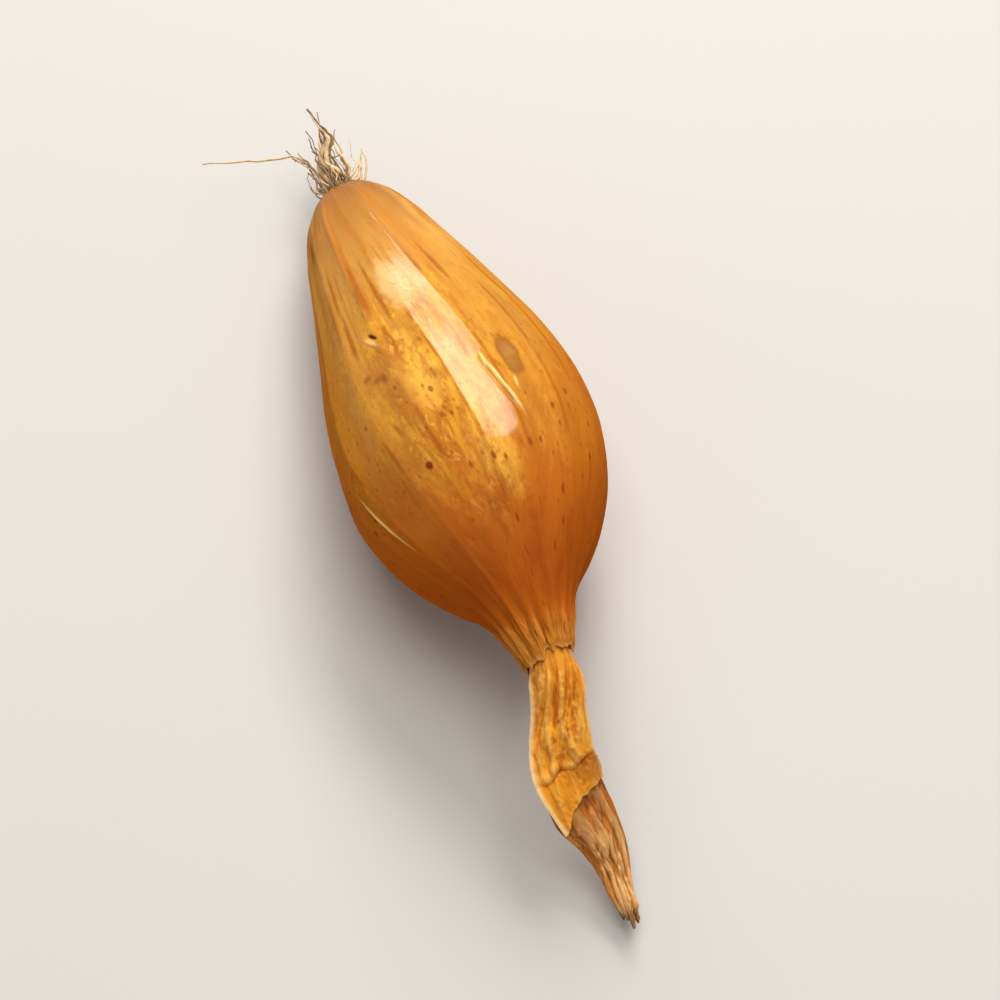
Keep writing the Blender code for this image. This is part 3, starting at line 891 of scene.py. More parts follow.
def tunicSources(finish, skin):
    at = noiseSources(finish, skin, tunicNoises, 2)
    for name in ("share", "veinGap", "under", "aside", "relief", "stripTone"):
        at[name] = finish.attribute(name)
    dotPlace = finish.stretch(skin, 1.0, 1.0, tunicTint["dotStretch"])
    at["dots"] = finish.cells(dotPlace, tunicTint["dotScale"])
    at["dust"] = finish.cells(dotPlace, tunicTint["dustScale"])
    at["curls"] = finish.ridges(at["curls"])
    at["rootRing"] = at["share"] + (at["wander"] - 0.5) * 0.02
    mottle = finish.stretch(skin, 1.0, 1.0, 0.45)
    swirl = finish.node("ShaderNodeTexNoise", {}, {"Vector": mottle, "Scale": 1.3}, 1)
    bend = tunicTint["crackBend"]
    bent = finish.vector("ADD", mottle, finish.stretch(swirl, bend, bend, bend))
    at["cracks"] = finish.cells(bent, tunicTint["crackScale"], "DISTANCE_TO_EDGE")
    return at


def tunicMaterial():
    finish = Finish("tunic", tunicFinish)
    skin = finish.attribute("skin", 1)
    at = tunicSources(finish, skin)
    share, ease = at["share"], finish.ease
    edges = {
        "torn": (at["torn"] - 0.5) * tunicTint["tornEdge"],
        "ragged": (at["ragged"] - 0.5) * tunicTint["raggedEdge"],
    }
    ragged = edges["ragged"]
    area = areaMasks(finish, at, tunicAreas)
    area["sunnyGrown"] = area["sunny"] * area["grown"]
    heart = ragged * 0.7 + tunicTint["heartInset"]
    area["heart"] = markMask(finish, skin, marks["blemish"][0], 0.45, heart)
    area["crackled"] = markMask(finish, skin, marks["crackle"][0], 0.35, ragged)
    squiggled = markMask(finish, skin, marks["squiggles"][0], 0.5, ragged)
    area["squiggled"] = squiggled * ease(at["curled"], 0.5, 0.56)
    colour = finish.ramp(share + (at["wander"] - 0.5) * 0.12, *tunicRamp)
    shaded = finish.tint(at["stripTone"] * 0.5 + 0.5, *tunicTint["stripShades"])
    shaded = finish.tint(1.0, colour, shaded, "MULTIPLY")
    colour = finish.tint(ease(share, *tunicTint["stripSpan"]), colour, shaded)
    for layer in tunicLayers:
        if isinstance(layer, str):
            colour = paintMarks(finish, colour, skin, edges, layer)
        else:
            colour = paintLayer(finish, colour, at, area, layer)
    # painted shade on the inside of the sockets, deepest in the neck
    dark = finish.tint(ease(share, *tunicTint["insideSpan"]), *tunicTint["inside"])
    finish.set("Base Color", finish.tint(finish.attribute("inside"), colour, dark))
    blemish = markMask(finish, skin, marks["blemish"][0], 0.2, ragged * 0.7)
    cracked = ease(at["cracks"], 0.05, 0.005)
    finish.set("Roughness", 0.42 + 0.16 * at["dull"] + 0.2 * blemish + 0.08 * ease(share, 0.8, 0.95))
    sound = (1.0 - blemish * 0.85) * (1.0 - area["crackled"] * (0.3 + 0.4 * cracked))
    sound = sound * ease(share, 0.97, 0.8) * ease(share, 0.84, 0.68, 0.35, 1.0)
    sound = sound * ease(at["under"], 0.24, 0.08, 0.02, 1.0)
    finish.set("Coat Weight", (0.42 + 0.42 * ease(at["dull"], 0.6, 0.42)) * sound)
    finish.bump(at["weave"] * 0.6 - cracked * area["crackled"] * 0.5, 0.00003, 0.8)
    return finish.material


def makeTunic(axis):
    tunic = makeTunicMesh(axis)
    tree = makeReliefTree(tunicMaterial())
    tree.grow(tunic)
    for vertex in tunic.data.vertices:
        vertex.co.z = max(vertex.co.z, 0.0)
    tunic.data.shade_smooth()
    handOver(tunic, "tunic", "bulb")
    print("stage: tunic,", len(tunic.data.polygons), "faces")


# The two withered leaves

Fold = namedtuple("Fold", "height across along lean skew sway seed power middle calmed")

leaves = {
    "pathLength": 0.0226,  # metres
    "pathSteps": 120,
    "headings": ((0.0, 1.0), (0.13, 2.0), (0.24, 15.0), (0.38, 18.0), (0.48, -4.0), (0.6, -20.0),
                 (0.7, -15.0), (0.82, 0.0), (1.0, 4.0)),
    "pitches": ((0.0, -6.0), (0.13, -7.0), (0.26, -26.0), (0.45, -36.0), (0.7, -38.0),
                (0.86, -28.0), (1.0, -10.0)),
    "rolls": ((0.0, 0.0), (0.4, 8.0), (0.58, -4.0), (0.8, -16.0), (1.0, -24.0)),
    "columns": 96,
    "rowLength": 0.00008,
    "thickness": 0.00017,
    "crinkle": 0.00034,
    "creasesAlong": 7.0,
    "creasesAcross": 1.2,
    "edgeWave": 0.1,
    "edgeWavesAlong": 9.0,
    "freeSpan": (0.1, 0.25),  # nearer the neck the leaf is held still
    "foldSpan": (0.1, 0.19),
    "edgeSpan": (0.62, 0.96),  # the folds die out at the edges, which run smooth
    "edgeCalm": 0.8,
    "flattest": 0.02,  # radians
}

outerLeaf = {
    "end": 0.607,
    "slant": -0.04,  # the torn end runs aslant, and hollow
    "hollow": 0.024,
    "widths": ((0.0, 0.0038), (0.11, 0.0038), (0.18, 0.0038), (0.28, 0.004),
               (0.44, 0.0046), (0.6, 0.0048)),
    "bends": ((0.0, 1.3), (0.1, 1.3), (0.18, 0.95), (0.3, 0.5), (0.6, 0.42)),  # radians, half arc
    "lifts": ((0.0, 1.46), (0.1, 1.45), (0.18, 0.98), (0.3, 0.3), (0.6, 0.22)),  # mm above the path
    "tear": 0.016,
    "teeth": 0.003,
    "sway": (0.35, 1.2, 9.0, 3.3),  # reach, scales across and along, seed
    "calm": ((0.45, 0.49), 0.35, (0.53, 0.6)),  # where the folds calm down, and by how much they come back
    "folds": (
        Fold(0.00044, 2.1, 4.2, 3.0, 0.0, 1.0, 4.2, 3, 0.45, 0.7),
        Fold(0.00017, 3.4, 13.0, 0.0, 2.5, 1.0, 8.1, 3, 0.45, 0.5),
        Fold(0.00009, 6.5, 38.0, 0.0, 0.0, 3.0, 5.5, 2, 0.5, 0.0),
    ),
    "creaseAt": 0.462,
    "creaseDepth": 0.00018,
    "rimRoll": 0.0002,
    "grooveDepth": 0.000102,
}

innerLeaf = {
    "end": 1.0,
    "slant": 0.0,
    "hollow": 0.0,
    "widths": ((0.0, 0.003), (0.11, 0.0032), (0.3, 0.0034), (0.5, 0.0041), (0.6, 0.0049),
               (0.68, 0.0045), (0.76, 0.0036), (0.84, 0.0026), (0.93, 0.0018), (1.0, 0.0011)),
    "bends": ((0.0, -1.0), (0.1, -1.0), (0.18, -0.4), (0.32, 0.44), (0.6, 0.44), (1.0, 0.9)),
    "lifts": ((0.0, -1.45), (0.1, -1.42), (0.18, -0.85), (0.32, -0.14), (0.6, -0.12), (1.0, 0.0)),
    "tear": 0.035,
    "teeth": 0.03,
    "sway": (0.3, 1.0, 12.0, 7.7),
    "calm": ((-0.2, -0.1), 1.0, (0.56, 0.72)),
    "folds": (
        Fold(0.00046, 2.6, 3.4, 0.0, 0.0, 1.0, 2.7, 2, 0.5, 0.65),
        Fold(0.000207, 5.5, 9.0, 0.0, 0.0, 1.0, 6.4, 2, 0.5, 0.65),
        Fold(0.000221, 2.4, 20.0, 0.0, 3.0, 0.0, 1.9, 2, 0.5, 0.0),
    ),
}


def leafPath(axis):
    neck = stationAt(axis, 1.0)
    start = neck.point - neck.forward * (bulb["neckSocketDepth"] - bulb["gap"])

    def heading(share):
        return along(leaves["headings"], share)

    def pitch(share):
        return along(leaves["pitches"], share)

    return walk(start, leaves["pathLength"], heading, pitch, leaves["pathSteps"])


def ridge(place):  # sharp crests between 0 and 1
    return 1.0 - abs(2.0 * (0.5 + 0.5 * noise.noise(place)) - 1.0)


def creaseHeight(shape, across, share):  # a crest across the leaf with a dent beside it
    bow = 0.024 * across + 0.02 * noise.noise(Vector((across * 1.8, 0.4, 9.0)))
    place = share - shape["creaseAt"] + bow
    crest = math.exp(-(((place + 0.012) / 0.014) ** 2))
    dent = math.exp(-(((place - 0.006) / 0.007) ** 2))
    return shape["creaseDepth"] * (crest - 0.8 * dent)


def rimHeight(shape, across, share):  # both edges are rolled, and a groove runs beside one
    rim = smoothstep(0.8, 0.97, -across) + 0.5 * smoothstep(0.86, 0.98, across)
    patchy = 0.5 + 0.5 * noise.noise(Vector((share * 14.0, 2.0, 2.0)))
    groove = math.exp(-(((across + 0.72) / 0.06) ** 2)) * patchy
    return (shape["rimRoll"] * rim - shape["grooveDepth"] * groove) * smoothstep(0.12, 0.2, share)


def foldHeight(shape, across, share):  # metres
    reach, wide, far, seed = shape["sway"]
    sway = reach * noise.noise(Vector((across * wide, share * far, seed)))
    rise, drop, fall = shape["calm"]
    calm = smoothstep(*rise, share) * (1.0 - drop * smoothstep(*fall, share))
    height = 0.0
    for fold in shape["folds"]:
        x = across * fold.across + share * fold.lean + sway * fold.sway
        y = share * fold.along + across * fold.skew
        crest = ridge(Vector((x, y, fold.seed))) ** fold.power - fold.middle
        height += fold.height * crest * (1.0 - fold.calmed * calm)
    if "creaseAt" in shape:
        height += creaseHeight(shape, across, share)
    height *= 1.0 - leaves["edgeCalm"] * smoothstep(*leaves["edgeSpan"], abs(across))
    height *= smoothstep(*leaves["foldSpan"], share)
    return height + rimHeight(shape, across, share) if "rimRoll" in shape else height


def leafPoint(path, shape, across, share, fold):
    here = stationAt(path, share)
    roll = math.radians(along(leaves["rolls"], share))
    side = here.side * math.cos(roll) + here.up * math.sin(roll)
    up = here.up * math.cos(roll) - here.side * math.sin(roll)
    free = smoothstep(*leaves["freeSpan"], share)
    wave = noise.noise(Vector((share * leaves["edgeWavesAlong"], across * 2.0, 0.0)))
    half = along(shape["widths"], share) / 2 * (1.0 + leaves["edgeWave"] * wave * free)
    bend = along(shape["bends"], share)
    bend = bend if abs(bend) > leaves["flattest"] else leaves["flattest"]
    distance = half / bend * math.sin(across * bend)
    hollow = half / bend * (1.0 - math.cos(across * bend))
    spot = Vector((distance / half * leaves["creasesAcross"], share * leaves["creasesAlong"], 0.7))
    height = leaves["crinkle"] * noise.noise(spot) * free + fold
    lift = along(shape["lifts"], share) * mm - hollow
    lean = across * bend  # the arc's normal leans outwards towards its edges
    return here.point + side * (distance + height * math.sin(lean)) + up * (lift + height * math.cos(lean))


def makeLeafMesh(name, path, shape):
    columns = leaves["columns"]
    rows = round(shape["end"] * leaves["pathLength"] / leaves["rowLength"])
    points, blade, heights = [], [], []
    for row in range(rows + 1):
        for column in range(columns + 1):
            across, t = 2.0 * column / columns - 1.0, row / rows
            tear = shape["tear"] * noise.noise(Vector((across * 3.5, shape["end"] * 9.0, 1.7)))
            tear += shape["teeth"] * noise.noise(Vector((across * 7.0, 3.0, shape["end"])))
            end = shape["end"] + shape["slant"] * across - shape["hollow"] * (1.0 - across * across)
            share = t * end + tear * smoothstep(0.8, 1.0, t)
            fold = foldHeight(shape, across, share)
            points.append(leafPoint(path, shape, across, share, fold))
            blade.append((across, share, t))
            heights.append(fold / mm)
    faces = []
    for row in range(rows):
        for column in range(columns):
            a = row * (columns + 1) + column
            faces.append((a, a + columns + 1, a + columns + 2, a + 1))
    leaf = newPiece(name, points, faces)
    storePlaces(leaf, "blade", blade)
    storeNumbers(leaf, "fold", heights)
    wall = leaf.modifiers.new("thickness", "SOLIDIFY")
    wall.thickness = leaves["thickness"]
    wall.offset = 0.0
    bakeModifiers(leaf)
    leaf.data.shade_smooth()
    return leaf


leafFinish = {
    "Specular IOR Level": 0.12,
    "Subsurface Weight": 0.1,
    "Subsurface Radius": (0.0012, 0.0006, 0.0002),
    "Subsurface Scale": 1.0,
}

outerLook = {  # noises, areas and layers read as those of the tunic
    "name": "outer leaf",
    "noises": {
        "patches": (1.8, 5.0, 0.6, 0.0, 6.0),
        "streaks": (6.0, 5.0, 0.65, 0.5, 2.2),
        "pale": (9.0, 4.0, 0.6, 0.0, 2.2),
        "creases": (1.7, 2.0, 0.55, 0.3, 3.6),
        "crumple": (5.0, 4.0, 0.6, 0.0, 7.0),
        "veins": (22.0, 4.0, 0.6, 0.0, 0.88),
    },
    "areas": {
        "creased": (("patches", 0.6, 0.44), ("share", 0.5, 0.44, 0.35, 1.0)),
        "spotted": (("patches", 0.55, 0.45),),
        "free": (("share", 0.1, 0.2),),
    },
    "base": ((0.38, 0.62), (0.94, 0.325, 0.022), (1.0, 0.43, 0.04)),
    "layers": (
        ("streaks", (0.48, 0.64), {"all": 0.34}, (0.5, 0.125, 0.008)),
        ("pale", (0.54, 0.72), {"all": 0.3}, (1.0, 0.54, 0.12)),
        ("waist", (0.4, 0.52), {"all": 0.66}, (0.88, 0.31, 0.017)),
        ("across", (0.2, 0.85), {"all": 0.45}, (0.7, 0.24, 0.022)),
        ("share", (0.34, 0.14), {"all": 0.5}, (0.66, 0.205, 0.016)),
        # painted shade in the fold hollows
        ("fold", (-0.01, -0.15), {"all": 0.75}, (0.5, 0.125, 0.006)),
        # painted highlight on the fold crests
        ("fold", (0.05, 0.18), {"all": 0.45}, (1.0, 0.54, 0.12)),
        # painted shade in the creases, which the bump also dents
        ("creases", (0.86, 0.98), {"creased": 0.55}, (0.44, 0.1, 0.005)),
        ("spots", (0.24, 0.08), {"spotted": 0.5}, (0.2, 0.05, 0.008)),
        ("across", (-0.87, -0.95), {"free": 0.85}, (0.92, 0.64, 0.35)),
        ("across", (0.92, 0.98), {"free": 0.51}, (0.92, 0.64, 0.35)),
        ("end", (0.982, 0.997), {"all": 0.35}, (0.9, 0.5, 0.13)),
    ),
    "roughness": 0.38,
    "coat": 0.15,
    "crumpleShare": 0.6,
    "creaseShare": 0.5,
    "bump": 0.00009,
}

innerLook = {
    "name": "inner leaf",
    "noises": {
        "patches": (1.8, 5.0, 0.6, 0.0, 5.0),
        "streaks": (6.0, 5.0, 0.65, 0.4, 2.2),
        "pale": (9.0, 4.0, 0.6, 0.0, 2.2),
        "creases": (2.0, 2.0, 0.55, 0.4, 4.0),
        "crumple": (6.0, 5.0, 0.7, 0.0, 10.0),
        "veins": (22.0, 4.0, 0.6, 0.0, 1.1),
    },
    "areas": {
        "creased": (("share", 0.84, 0.66),),
        "crested": (("share", 0.62, 0.8, 0.3, 0.8),),
    },
    "base": ((0.36, 0.64), (0.42, 0.125, 0.017), (0.6, 0.215, 0.036)),
    "layers": (
        # painted shadow: browner where the torn end of the outer leaf lies over it
        ("share", (0.74, 0.6), {"all": 0.6}, (0.54, 0.17, 0.02)),
        ("streaks", (0.48, 0.62), {"all": 0.5}, (0.2, 0.068, 0.02)),
        ("pale", (0.54, 0.7), {"all": 0.24}, (0.76, 0.38, 0.11)),
        # painted shade: dark lines where creases run
        ("creases", (0.87, 0.98), {"creased": 0.55}, (0.16, 0.045, 0.008)),
        # painted shade in the fold hollows
        ("fold", (0.02, -0.16), {"all": 0.8}, (0.15, 0.045, 0.01)),
        # painted highlight on the fold crests
        ("fold", (0.04, 0.2), {"crested": 1.0}, (0.88, 0.5, 0.19)),
        ("share", (0.94, 1.0), {"all": 0.75}, (0.1, 0.038, 0.018)),
    ),
    "roughness": 0.5,
    "coat": 0.0,
    "crumpleShare": 1.0,
    "creaseShare": 0.0,
    "bump": 0.0001,
}


def leafMaterial(look):
    finish = Finish(look["name"], leafFinish)
    blade = finish.attribute("blade", 1)
    at = noiseSources(finish, blade, look["noises"], 1)
    for i, name in enumerate(("across", "share", "end")):
        at[name] = finish.node("ShaderNodeSeparateXYZ", {}, {0: blade}, i)
    at["fold"] = finish.attribute("fold")
    at["waist"] = at["share"] + (at["patches"] - 0.5) * 0.1
    at["creases"] = finish.ridges(at["creases"])
    at["spots"] = finish.cells(finish.stretch(blade, 1.0, 5.0, 1.0), 4.2)
    area = areaMasks(finish, at, look["areas"])
    limits, low, high = look["base"]
    colour = finish.tint(finish.ease(at["patches"], *limits), low, high)
    for layer in look["layers"]:
        colour = paintLayer(finish, colour, at, area, layer)
    finish.set("Base Color", colour)
    finish.set("Roughness", look["roughness"] + 0.25 * at["patches"])
    height = at["veins"] * 0.8 + at["crumple"] * look["crumpleShare"]
    if look["coat"]:
        finish.set("Coat Weight", look["coat"] * finish.ease(at["patches"], 0.6, 0.4))
    if look["creaseShare"]:
        height = height - finish.ease(at["creases"], 0.86, 0.98) * area["creased"] * look["creaseShare"]
    finish.bump(height, look["bump"])
    return finish.material


def makeLeaves(axis):
    path = leafPath(axis)
    outer = makeLeafMesh("outer_leaf_blade", path, outerLeaf)
    outer.data.materials.append(leafMaterial(outerLook))
    handOver(outer, "outer_leaf", "outer_leaf")
    inner = makeLeafMesh("inner_leaf_blade", path, innerLeaf)
    inner.data.materials.append(leafMaterial(innerLook))
    handOver(inner, "inner_leaf", "inner_leaf")
    print("stage: leaves,", len(outer.data.polygons) + len(inner.data.polygons), "faces")


# The root plate and the dry roots

smallStrand = {
    "spread": 26.0,  # degrees
    "outward": (-0.6, 0.6),
    "curlTurn": 2.8,
    "taper": (0.5, 1.0),  # how thin the tip is, and the power of the way there
    "tones": (0.0, 1.0),
    "points": 10,
}

roots = {
    "plateDome": 0.0006,
    "plateBumps": 0.00016,
    "plateEdge": 0.0002,  # the bumps start past it
    "plateGap": 0.00004,
    "plateRings": 22,
    "plateSteps": 72,
    "sink": 0.0007,
    "rootedShare": 0.72,
    "strands": {
        "count": 22,
        "lengths": (0.0028, 0.0076),
        "widths": (0.00009, 0.00018),
        "spread": 15.0,
        "outward": (-1.0, 0.5),
        "curl": (0.0013, 0.0),  # metres, and share of the length
        "curlTurn": 2.6,
        "taper": (0.45, 1.5),
        "tones": (0.0, 0.6),
        "points": 18,
    },
    "stubs": {
        **smallStrand,
        "count": 16,
        "lengths": (0.001, 0.003),
        "widths": (0.00018, 0.00036),
        "curl": (0.0, 0.7),
    },
    "hairs": {
        **smallStrand,
        "count": 30,
        "lengths": (0.0012, 0.0046),
        "widths": (0.00004, 0.00008),
        "curl": (0.0, 0.5),
    },
    # the thick roots: (half width in mm, strands, tone, places in mm (aside, up, out) from the plate)
    "tendrils": (
        (0.3, 2, 1.0, ((0.11, 0.05, 0.0), (0.78, 0.21, 0.94), (1.76, 0.34, 1.53), (2.29, 0.49, 2.21),
            (2.79, 0.64, 2.91))),
        (0.11, 1, 0.7, ((0.67, 0.0, -0.2), (1.81, 0.11, 0.5), (2.5, 0.31, 1.39), (2.76, 0.48, 2.19),
            (2.82, 0.7, 3.17))),
        (0.18, 1, 0.95, ((0.21, 0.3, 0.0), (0.82, 0.46, 1.2), (0.33, 0.69, 2.24), (-0.24, 0.83, 3.3),
            (0.0, 0.94, 4.3), (0.45, 1.1, 5.47))),
        (0.38, 4, 0.45, ((-0.37, 0.08, 0.0), (-0.31, 0.31, 1.42), (-0.36, 0.5, 2.26),
            (-0.27, 0.67, 3.04), (0.16, 0.83, 3.77), (0.83, 0.99, 4.48), (0.86, 1.17, 5.3),
            (0.59, 1.37, 6.24), (0.38, 1.65, 7.51))),
        (0.2, 1, 0.8, ((-0.6, 0.0, -0.2), (-0.95, 0.09, 0.41), (-0.86, 0.32, 1.47))),
        (0.18, 1, 0.85, ((0.39, 0.0, 0.0), (1.06, 0.24, 1.55), (1.31, 0.38, 2.18), (1.29, 0.56, 3.01),
            (1.07, 0.7, 3.65), (1.12, 0.9, 4.73))),
        (0.3, 3, 0.25, ((-0.18, 0.2, 0.0), (-0.09, 0.45, 1.14), (-0.21, 0.6, 1.83),
            (-0.23, 0.78, 2.66), (-0.06, 0.9, 3.41))),
    ),
    "tendrilPoints": 25,
    "tendrilTwist": 5.0,  # radians that the strands of a thick root wind round each other
    "longFoot": 0.3,
    "longLength": 0.0122,
    "longTurns": (14.0, 68.0),  # degrees, at its foot and at its tip
    "longBend": (0.34, 0.5),
    "longPoints": 10,
    "longWave": 0.12,
    "longWidth": 0.00013,
    "seed": 11,
}

strand = {  # metres
    "Wander": 0.0006,
    "Wander Scale": 620.0,
    "Kink": 0.0001,
    "Point Spacing": 0.00016,
    "Flatness": 0.52,
    "Sides": 8,
    "Turns": 3.2,
}

strandKinds = {  # what differs from a plain strand
    "root strand": {},
    "flat root": {"Wander": 0.00022, "Kink": 0.00012, "Flatness": 0.55, "Sides": 10, "Turns": 5.0},
    "root hair": {"Sides": 5, "Flatness": 1.0},
    "trailing root": {"Wander": 0.0003, "Wander Scale": 300.0, "Kink": 0.00004, "Flatness": 0.8},
}


def makeStrandTree(name, material):  # a bent, flattened fibre along every line
    tree = Grower(name, {**strand, **strandKinds[name]})
    line = tree.node("GeometryNodeMeshToCurve", {}, {0: tree.input("Geometry")})
    inputs = {0: line, "Length": tree.input("Point Spacing")}
    line = tree.node("GeometryNodeResampleCurve", {"mode": "LENGTH"}, inputs)
    free = tree.ease(tree.node("GeometryNodeSplineParameter"), 0.05, 0.6)
    place = tree.node("GeometryNodeInputPosition")
    scale = tree.input("Wander Scale")
    bends = tree.node("ShaderNodeTexNoise", {}, {"Vector": place, "Scale": scale, "Detail": 1.0}, 1)
    kinks = tree.node("ShaderNodeTexNoise", {}, {"Vector": place, "Scale": scale * 4.0, "Detail": 2.0}, 1)
    offsets = []
    for source, size in ((bends, tree.input("Wander")), (kinks, tree.input("Kink"))):
        centred = tree.vector("SUBTRACT", source, (0.5, 0.5, 0.5))
        inputs = {0: centred, "Scale": size * free * 2.0}
        offsets.append(tree.node("ShaderNodeVectorMath", {"operation": "SCALE"}, inputs))
    line = tree.move(line, tree.vector("ADD", *offsets))
    tilt = tree.noise(place, 260.0, 1.0) * tree.input("Turns")
    line = tree.node("GeometryNodeSetCurveTilt", {}, {"Curve": line, "Tilt": tilt})
    inputs = {"Resolution": tree.input("Sides"), "Radius": 1.0}
    ring = tree.node("GeometryNodeCurvePrimitiveCircle", {}, inputs)
    flat = tree.node("ShaderNodeCombineXYZ", {}, {0: 1.0, 1: tree.input("Flatness"), 2: 1.0})
    ring = tree.node("GeometryNodeTransform", {}, {0: ring, "Scale": flat})
    ragged = tree.noise(place, 1500.0, 2.0)
    width = tree.attribute("width") * (0.7 + 0.6 * ragged)
    inputs = {"Curve": line, "Profile Curve": ring, "Scale": width, "Fill Caps": True}
    tube = tree.node("GeometryNodeCurveToMesh", {}, inputs)
    tree.close(tube, material)
    return tree


def makeStrands(name, lines, tree):  # lines: lists of (point, width, tone)
    points, edges, widths, tones, shares = [], [], [], [], []
    for line in lines:
        for i, (point, width, tone) in enumerate(line):
            if i:
                edges.append((len(points) - 1, len(points)))
            points.append(point)
            widths.append(width)
            tones.append(tone)
            shares.append(i / (len(line) - 1))
    obj = newPiece(name, points, [], edges)
    for label, values in (("width", widths), ("tone", tones), ("share", shares)):
        storeNumbers(obj, label, values)
    tree.grow(obj)
    obj.data.shade_smooth()
    return obj


def plateFoot(base, outward, ring):
    rooted = (bulbRadius(0.0) - bulb["rootWall"] - bulb["gap"]) * roots["rootedShare"]
    return base.point + outward * (rooted * ring) - base.forward * (roots["plateDome"] - roots["sink"])


def plateStrand(base, kind, ring, turn, rng, looks):
    outward = base.side * math.cos(turn) + base.up * math.sin(turn)
    lean = math.radians(kind["spread"] * ring)
    heading = outward * math.sin(lean) - base.forward * math.cos(lean)
    length = rng.uniform(*kind["lengths"])
    sideways = outward.cross(heading) * rng.uniform(-1.0, 1.0) + outward * rng.uniform(*kind["outward"])
    foot = plateFoot(base, outward, ring)
    width, tone = looks.uniform(*kind["widths"]), looks.uniform(*kind["tones"])
    fixed, relative = kind["curl"]
    thin, power = kind["taper"]
    line = []
    for i in range(kind["points"]):
        share = i / (kind["points"] - 1)
        curl = (fixed + relative * length) * math.sin(share * kind["curlTurn"]) * share
        taper = blend(1.0, thin, share ** power)
        line.append((foot + heading * (length * share) + sideways * curl, width * taper, tone))
    return line


def spacedStrands(base, kind, rng, looks):  # spread evenly over the plate, as the solid's are
    lines = []
    for number in range(kind["count"]):
        ring = math.sqrt((number + 0.5) / kind["count"])
        turn = number * math.pi * (3.0 - math.sqrt(5.0))
        lines.append(plateStrand(base, kind, ring, turn, rng, looks))
    return lines


def scatteredStrands(base, kind, looks):  # hairs and broken stubs between the roots
    lines = []
    for number in range(kind["count"]):
        ring, turn = math.sqrt(looks.uniform(0.0, 1.0)), looks.uniform(0.0, 2 * math.pi)
        lines.append(plateStrand(base, kind, ring, turn, looks, looks))
    return lines


def tendrilLines(base, halfWidth, count, tone, places):  # a few strands wound round each other
    last = len(places) - 1
    stops = [[(i / last, place[k]) for i, place in enumerate(places)] for k in range(3)]
    alone = count == 1
    width = halfWidth * mm * (1.0 if alone else 0.5)
    apart = 0.0 if alone else halfWidth * mm * 0.74
    lines = []
    for number in range(count):
        line = []
        for i in range(roots["tendrilPoints"]):
            share = i / (roots["tendrilPoints"] - 1)
            aside, up, out = (along(stop, share) * mm for stop in stops)
            swell = 0.75 + 0.45 * math.sin(math.pi * min(1.0, share * 1.4))
            swell *= blend(1.0, 0.35, smoothstep(0.6, 1.0, share))
            turn = 2 * math.pi * number / count + roots["tendrilTwist"] * share
            aside += apart * swell * math.cos(turn)
            up += apart * swell * math.sin(turn)
            point = base.point + base.side * aside + base.up * up - base.forward * out
            line.append((point, width * swell, tone + 0.34 * math.sin(number * 2.4)))
        lines.append(line)
    return lines


def longRootLine(base):
    foot = plateFoot(base, -base.side, roots["longFoot"])
    line = [(foot, roots["longWidth"], 0.75)]
    count = roots["longPoints"]
    for i in range(1, count):
        bend = math.radians(blend(*roots["longTurns"], smoothstep(*roots["longBend"], i / count)))
        heading = -base.forward * math.cos(bend) - base.side * math.sin(bend)
        step = (heading + base.up * roots["longWave"] * math.sin(i)) * (roots["longLength"] / (count - 1))
        line.append((line[-1][0] + step, roots["longWidth"] * blend(1.0, 0.6, i / (count - 1)), 0.75))
    return line


def rootMaterial():
    finish = Finish("dry root", {"Roughness": 0.8, "Specular IOR Level": 0.3})
    place = finish.object()
    tone, share = finish.attribute("tone"), finish.attribute("share")
    mottle = finish.noise(place, 1400.0, 4.0)
    colour = finish.tint(finish.ease(tone, 0.05, 0.95), (0.26, 0.165, 0.075), (0.82, 0.57, 0.33))
    colour = finish.tint(finish.ease(mottle, 0.48, 0.66) * 0.5, colour, (0.24, 0.135, 0.055))
    colour = finish.tint(finish.ease(share, 0.3, 0.0) * 0.6, colour, (0.16, 0.092, 0.04))
    finish.set("Base Color", colour)
    finish.set("Roughness", 0.62 + 0.25 * mottle)
    finish.bump(finish.noise(place, 5200.0, 3.0), 0.00003, 0.8)
    return finish.material


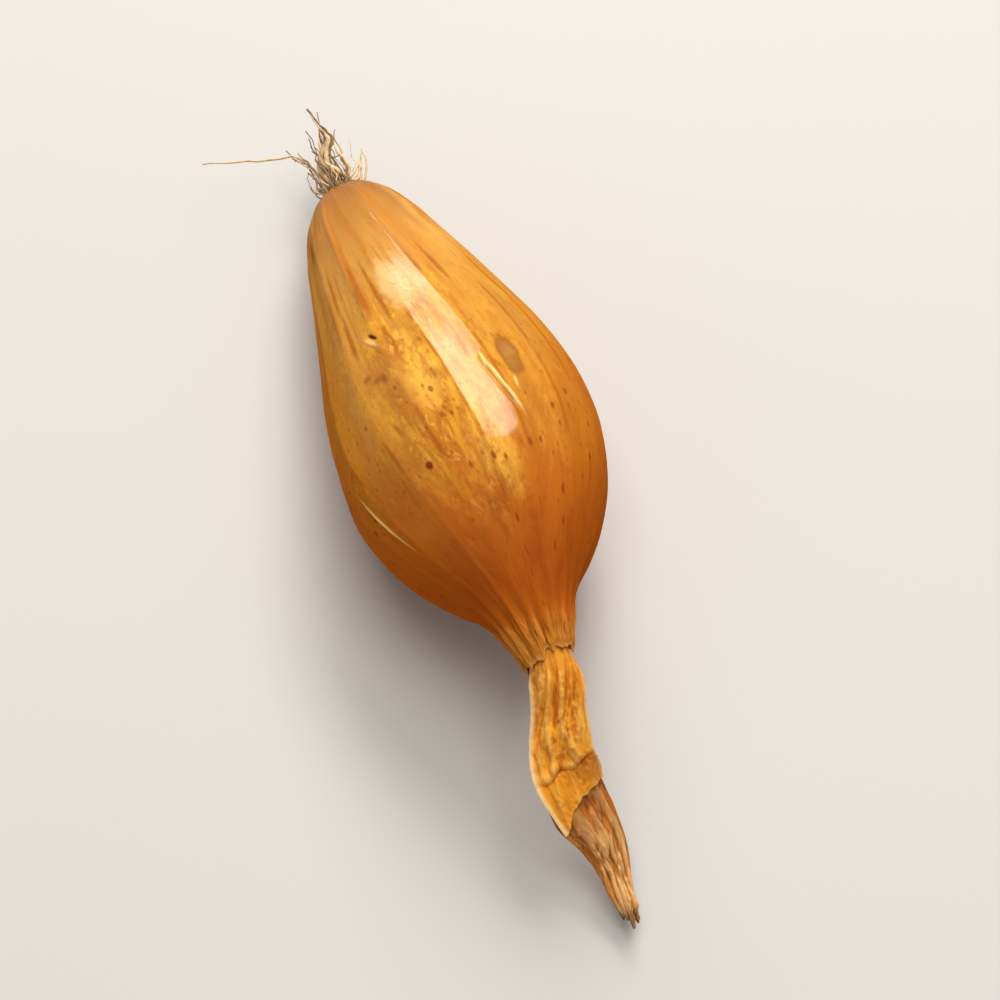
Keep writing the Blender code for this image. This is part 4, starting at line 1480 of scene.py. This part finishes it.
def plateMaterial():
    finish = Finish("corky plate", {"Roughness": 0.9, "Specular IOR Level": 0.2})
    place = finish.object()
    grain = finish.noise(place, 1700.0, 5.0, 0.65)
    colour = finish.tint(finish.ease(grain, 0.36, 0.64), (0.075, 0.042, 0.022), (0.3, 0.185, 0.1))
    finish.set("Base Color", colour)
    finish.set("Roughness", 0.75 + 0.2 * grain)
    finish.bump(grain, 0.00012, 1.0)
    return finish.material


def makePlate(base):
    radius = bulbRadius(0.0) - bulb["rootWall"] - roots["plateGap"]
    foot = bulb["rootSocketDepth"] - bulb["gap"]
    steps, rings = roots["plateSteps"], roots["plateRings"]
    profile = [(radius * 0.5, foot), (radius, foot), (radius, foot * 0.5), (radius, 0.0)]
    for i in range(1, rings):
        turn = math.pi / 2 * i / rings
        profile.append((radius * math.cos(turn), -roots["plateDome"] * math.sin(turn)))
    points = []
    for reach, height in profile:
        for step in range(steps):
            turn = 2 * math.pi * step / steps
            x, y = reach * math.cos(turn), reach * math.sin(turn)
            outer = smoothstep(0.0, -roots["plateEdge"], height)
            rough = noise.noise(Vector((x, y, 0.0)) * 1900.0)
            rough += 0.5 * noise.noise(Vector((x, y, 1.0)) * 4200.0)
            z = height + roots["plateBumps"] * rough * outer
            points.append(base.point + base.side * x + base.up * y + base.forward * z)
    ends = (base.point + base.forward * foot, base.point - base.forward * roots["plateDome"])
    plate = ringMesh("root_plate", points, steps, ends)
    plate.data.materials.append(plateMaterial())
    plate.data.shade_smooth()
    return plate


def makeRoots(axis):
    base = stationAt(axis, 0.0)
    plate = makePlate(base)
    handOver(plate, "roots", "root_tuft")
    rng, looks = random.Random(roots["seed"]), random.Random(roots["seed"] + 5)
    material = rootMaterial()
    thick = spacedStrands(base, roots["strands"], rng, looks)
    thick += scatteredStrands(base, roots["stubs"], looks)
    flat = [line for tendril in roots["tendrils"] for line in tendrilLines(base, *tendril)]
    fine = scatteredStrands(base, roots["hairs"], looks)
    count = len(plate.data.polygons)
    for name, kind, lines in (
        ("roots_thick", "root strand", thick),
        ("roots_flat", "flat root", flat),
        ("roots_fine", "root hair", fine),
        ("root_long", "trailing root", [longRootLine(base)]),
    ):
        piece = makeStrands(name, lines, makeStrandTree(kind, material))
        handOver(piece, "roots")
        count += len(piece.data.polygons)
    print("stage: roots,", count, "faces")


axis = bulbAxis()
makeTunic(axis)
makeLeaves(axis)
makeRoots(axis)
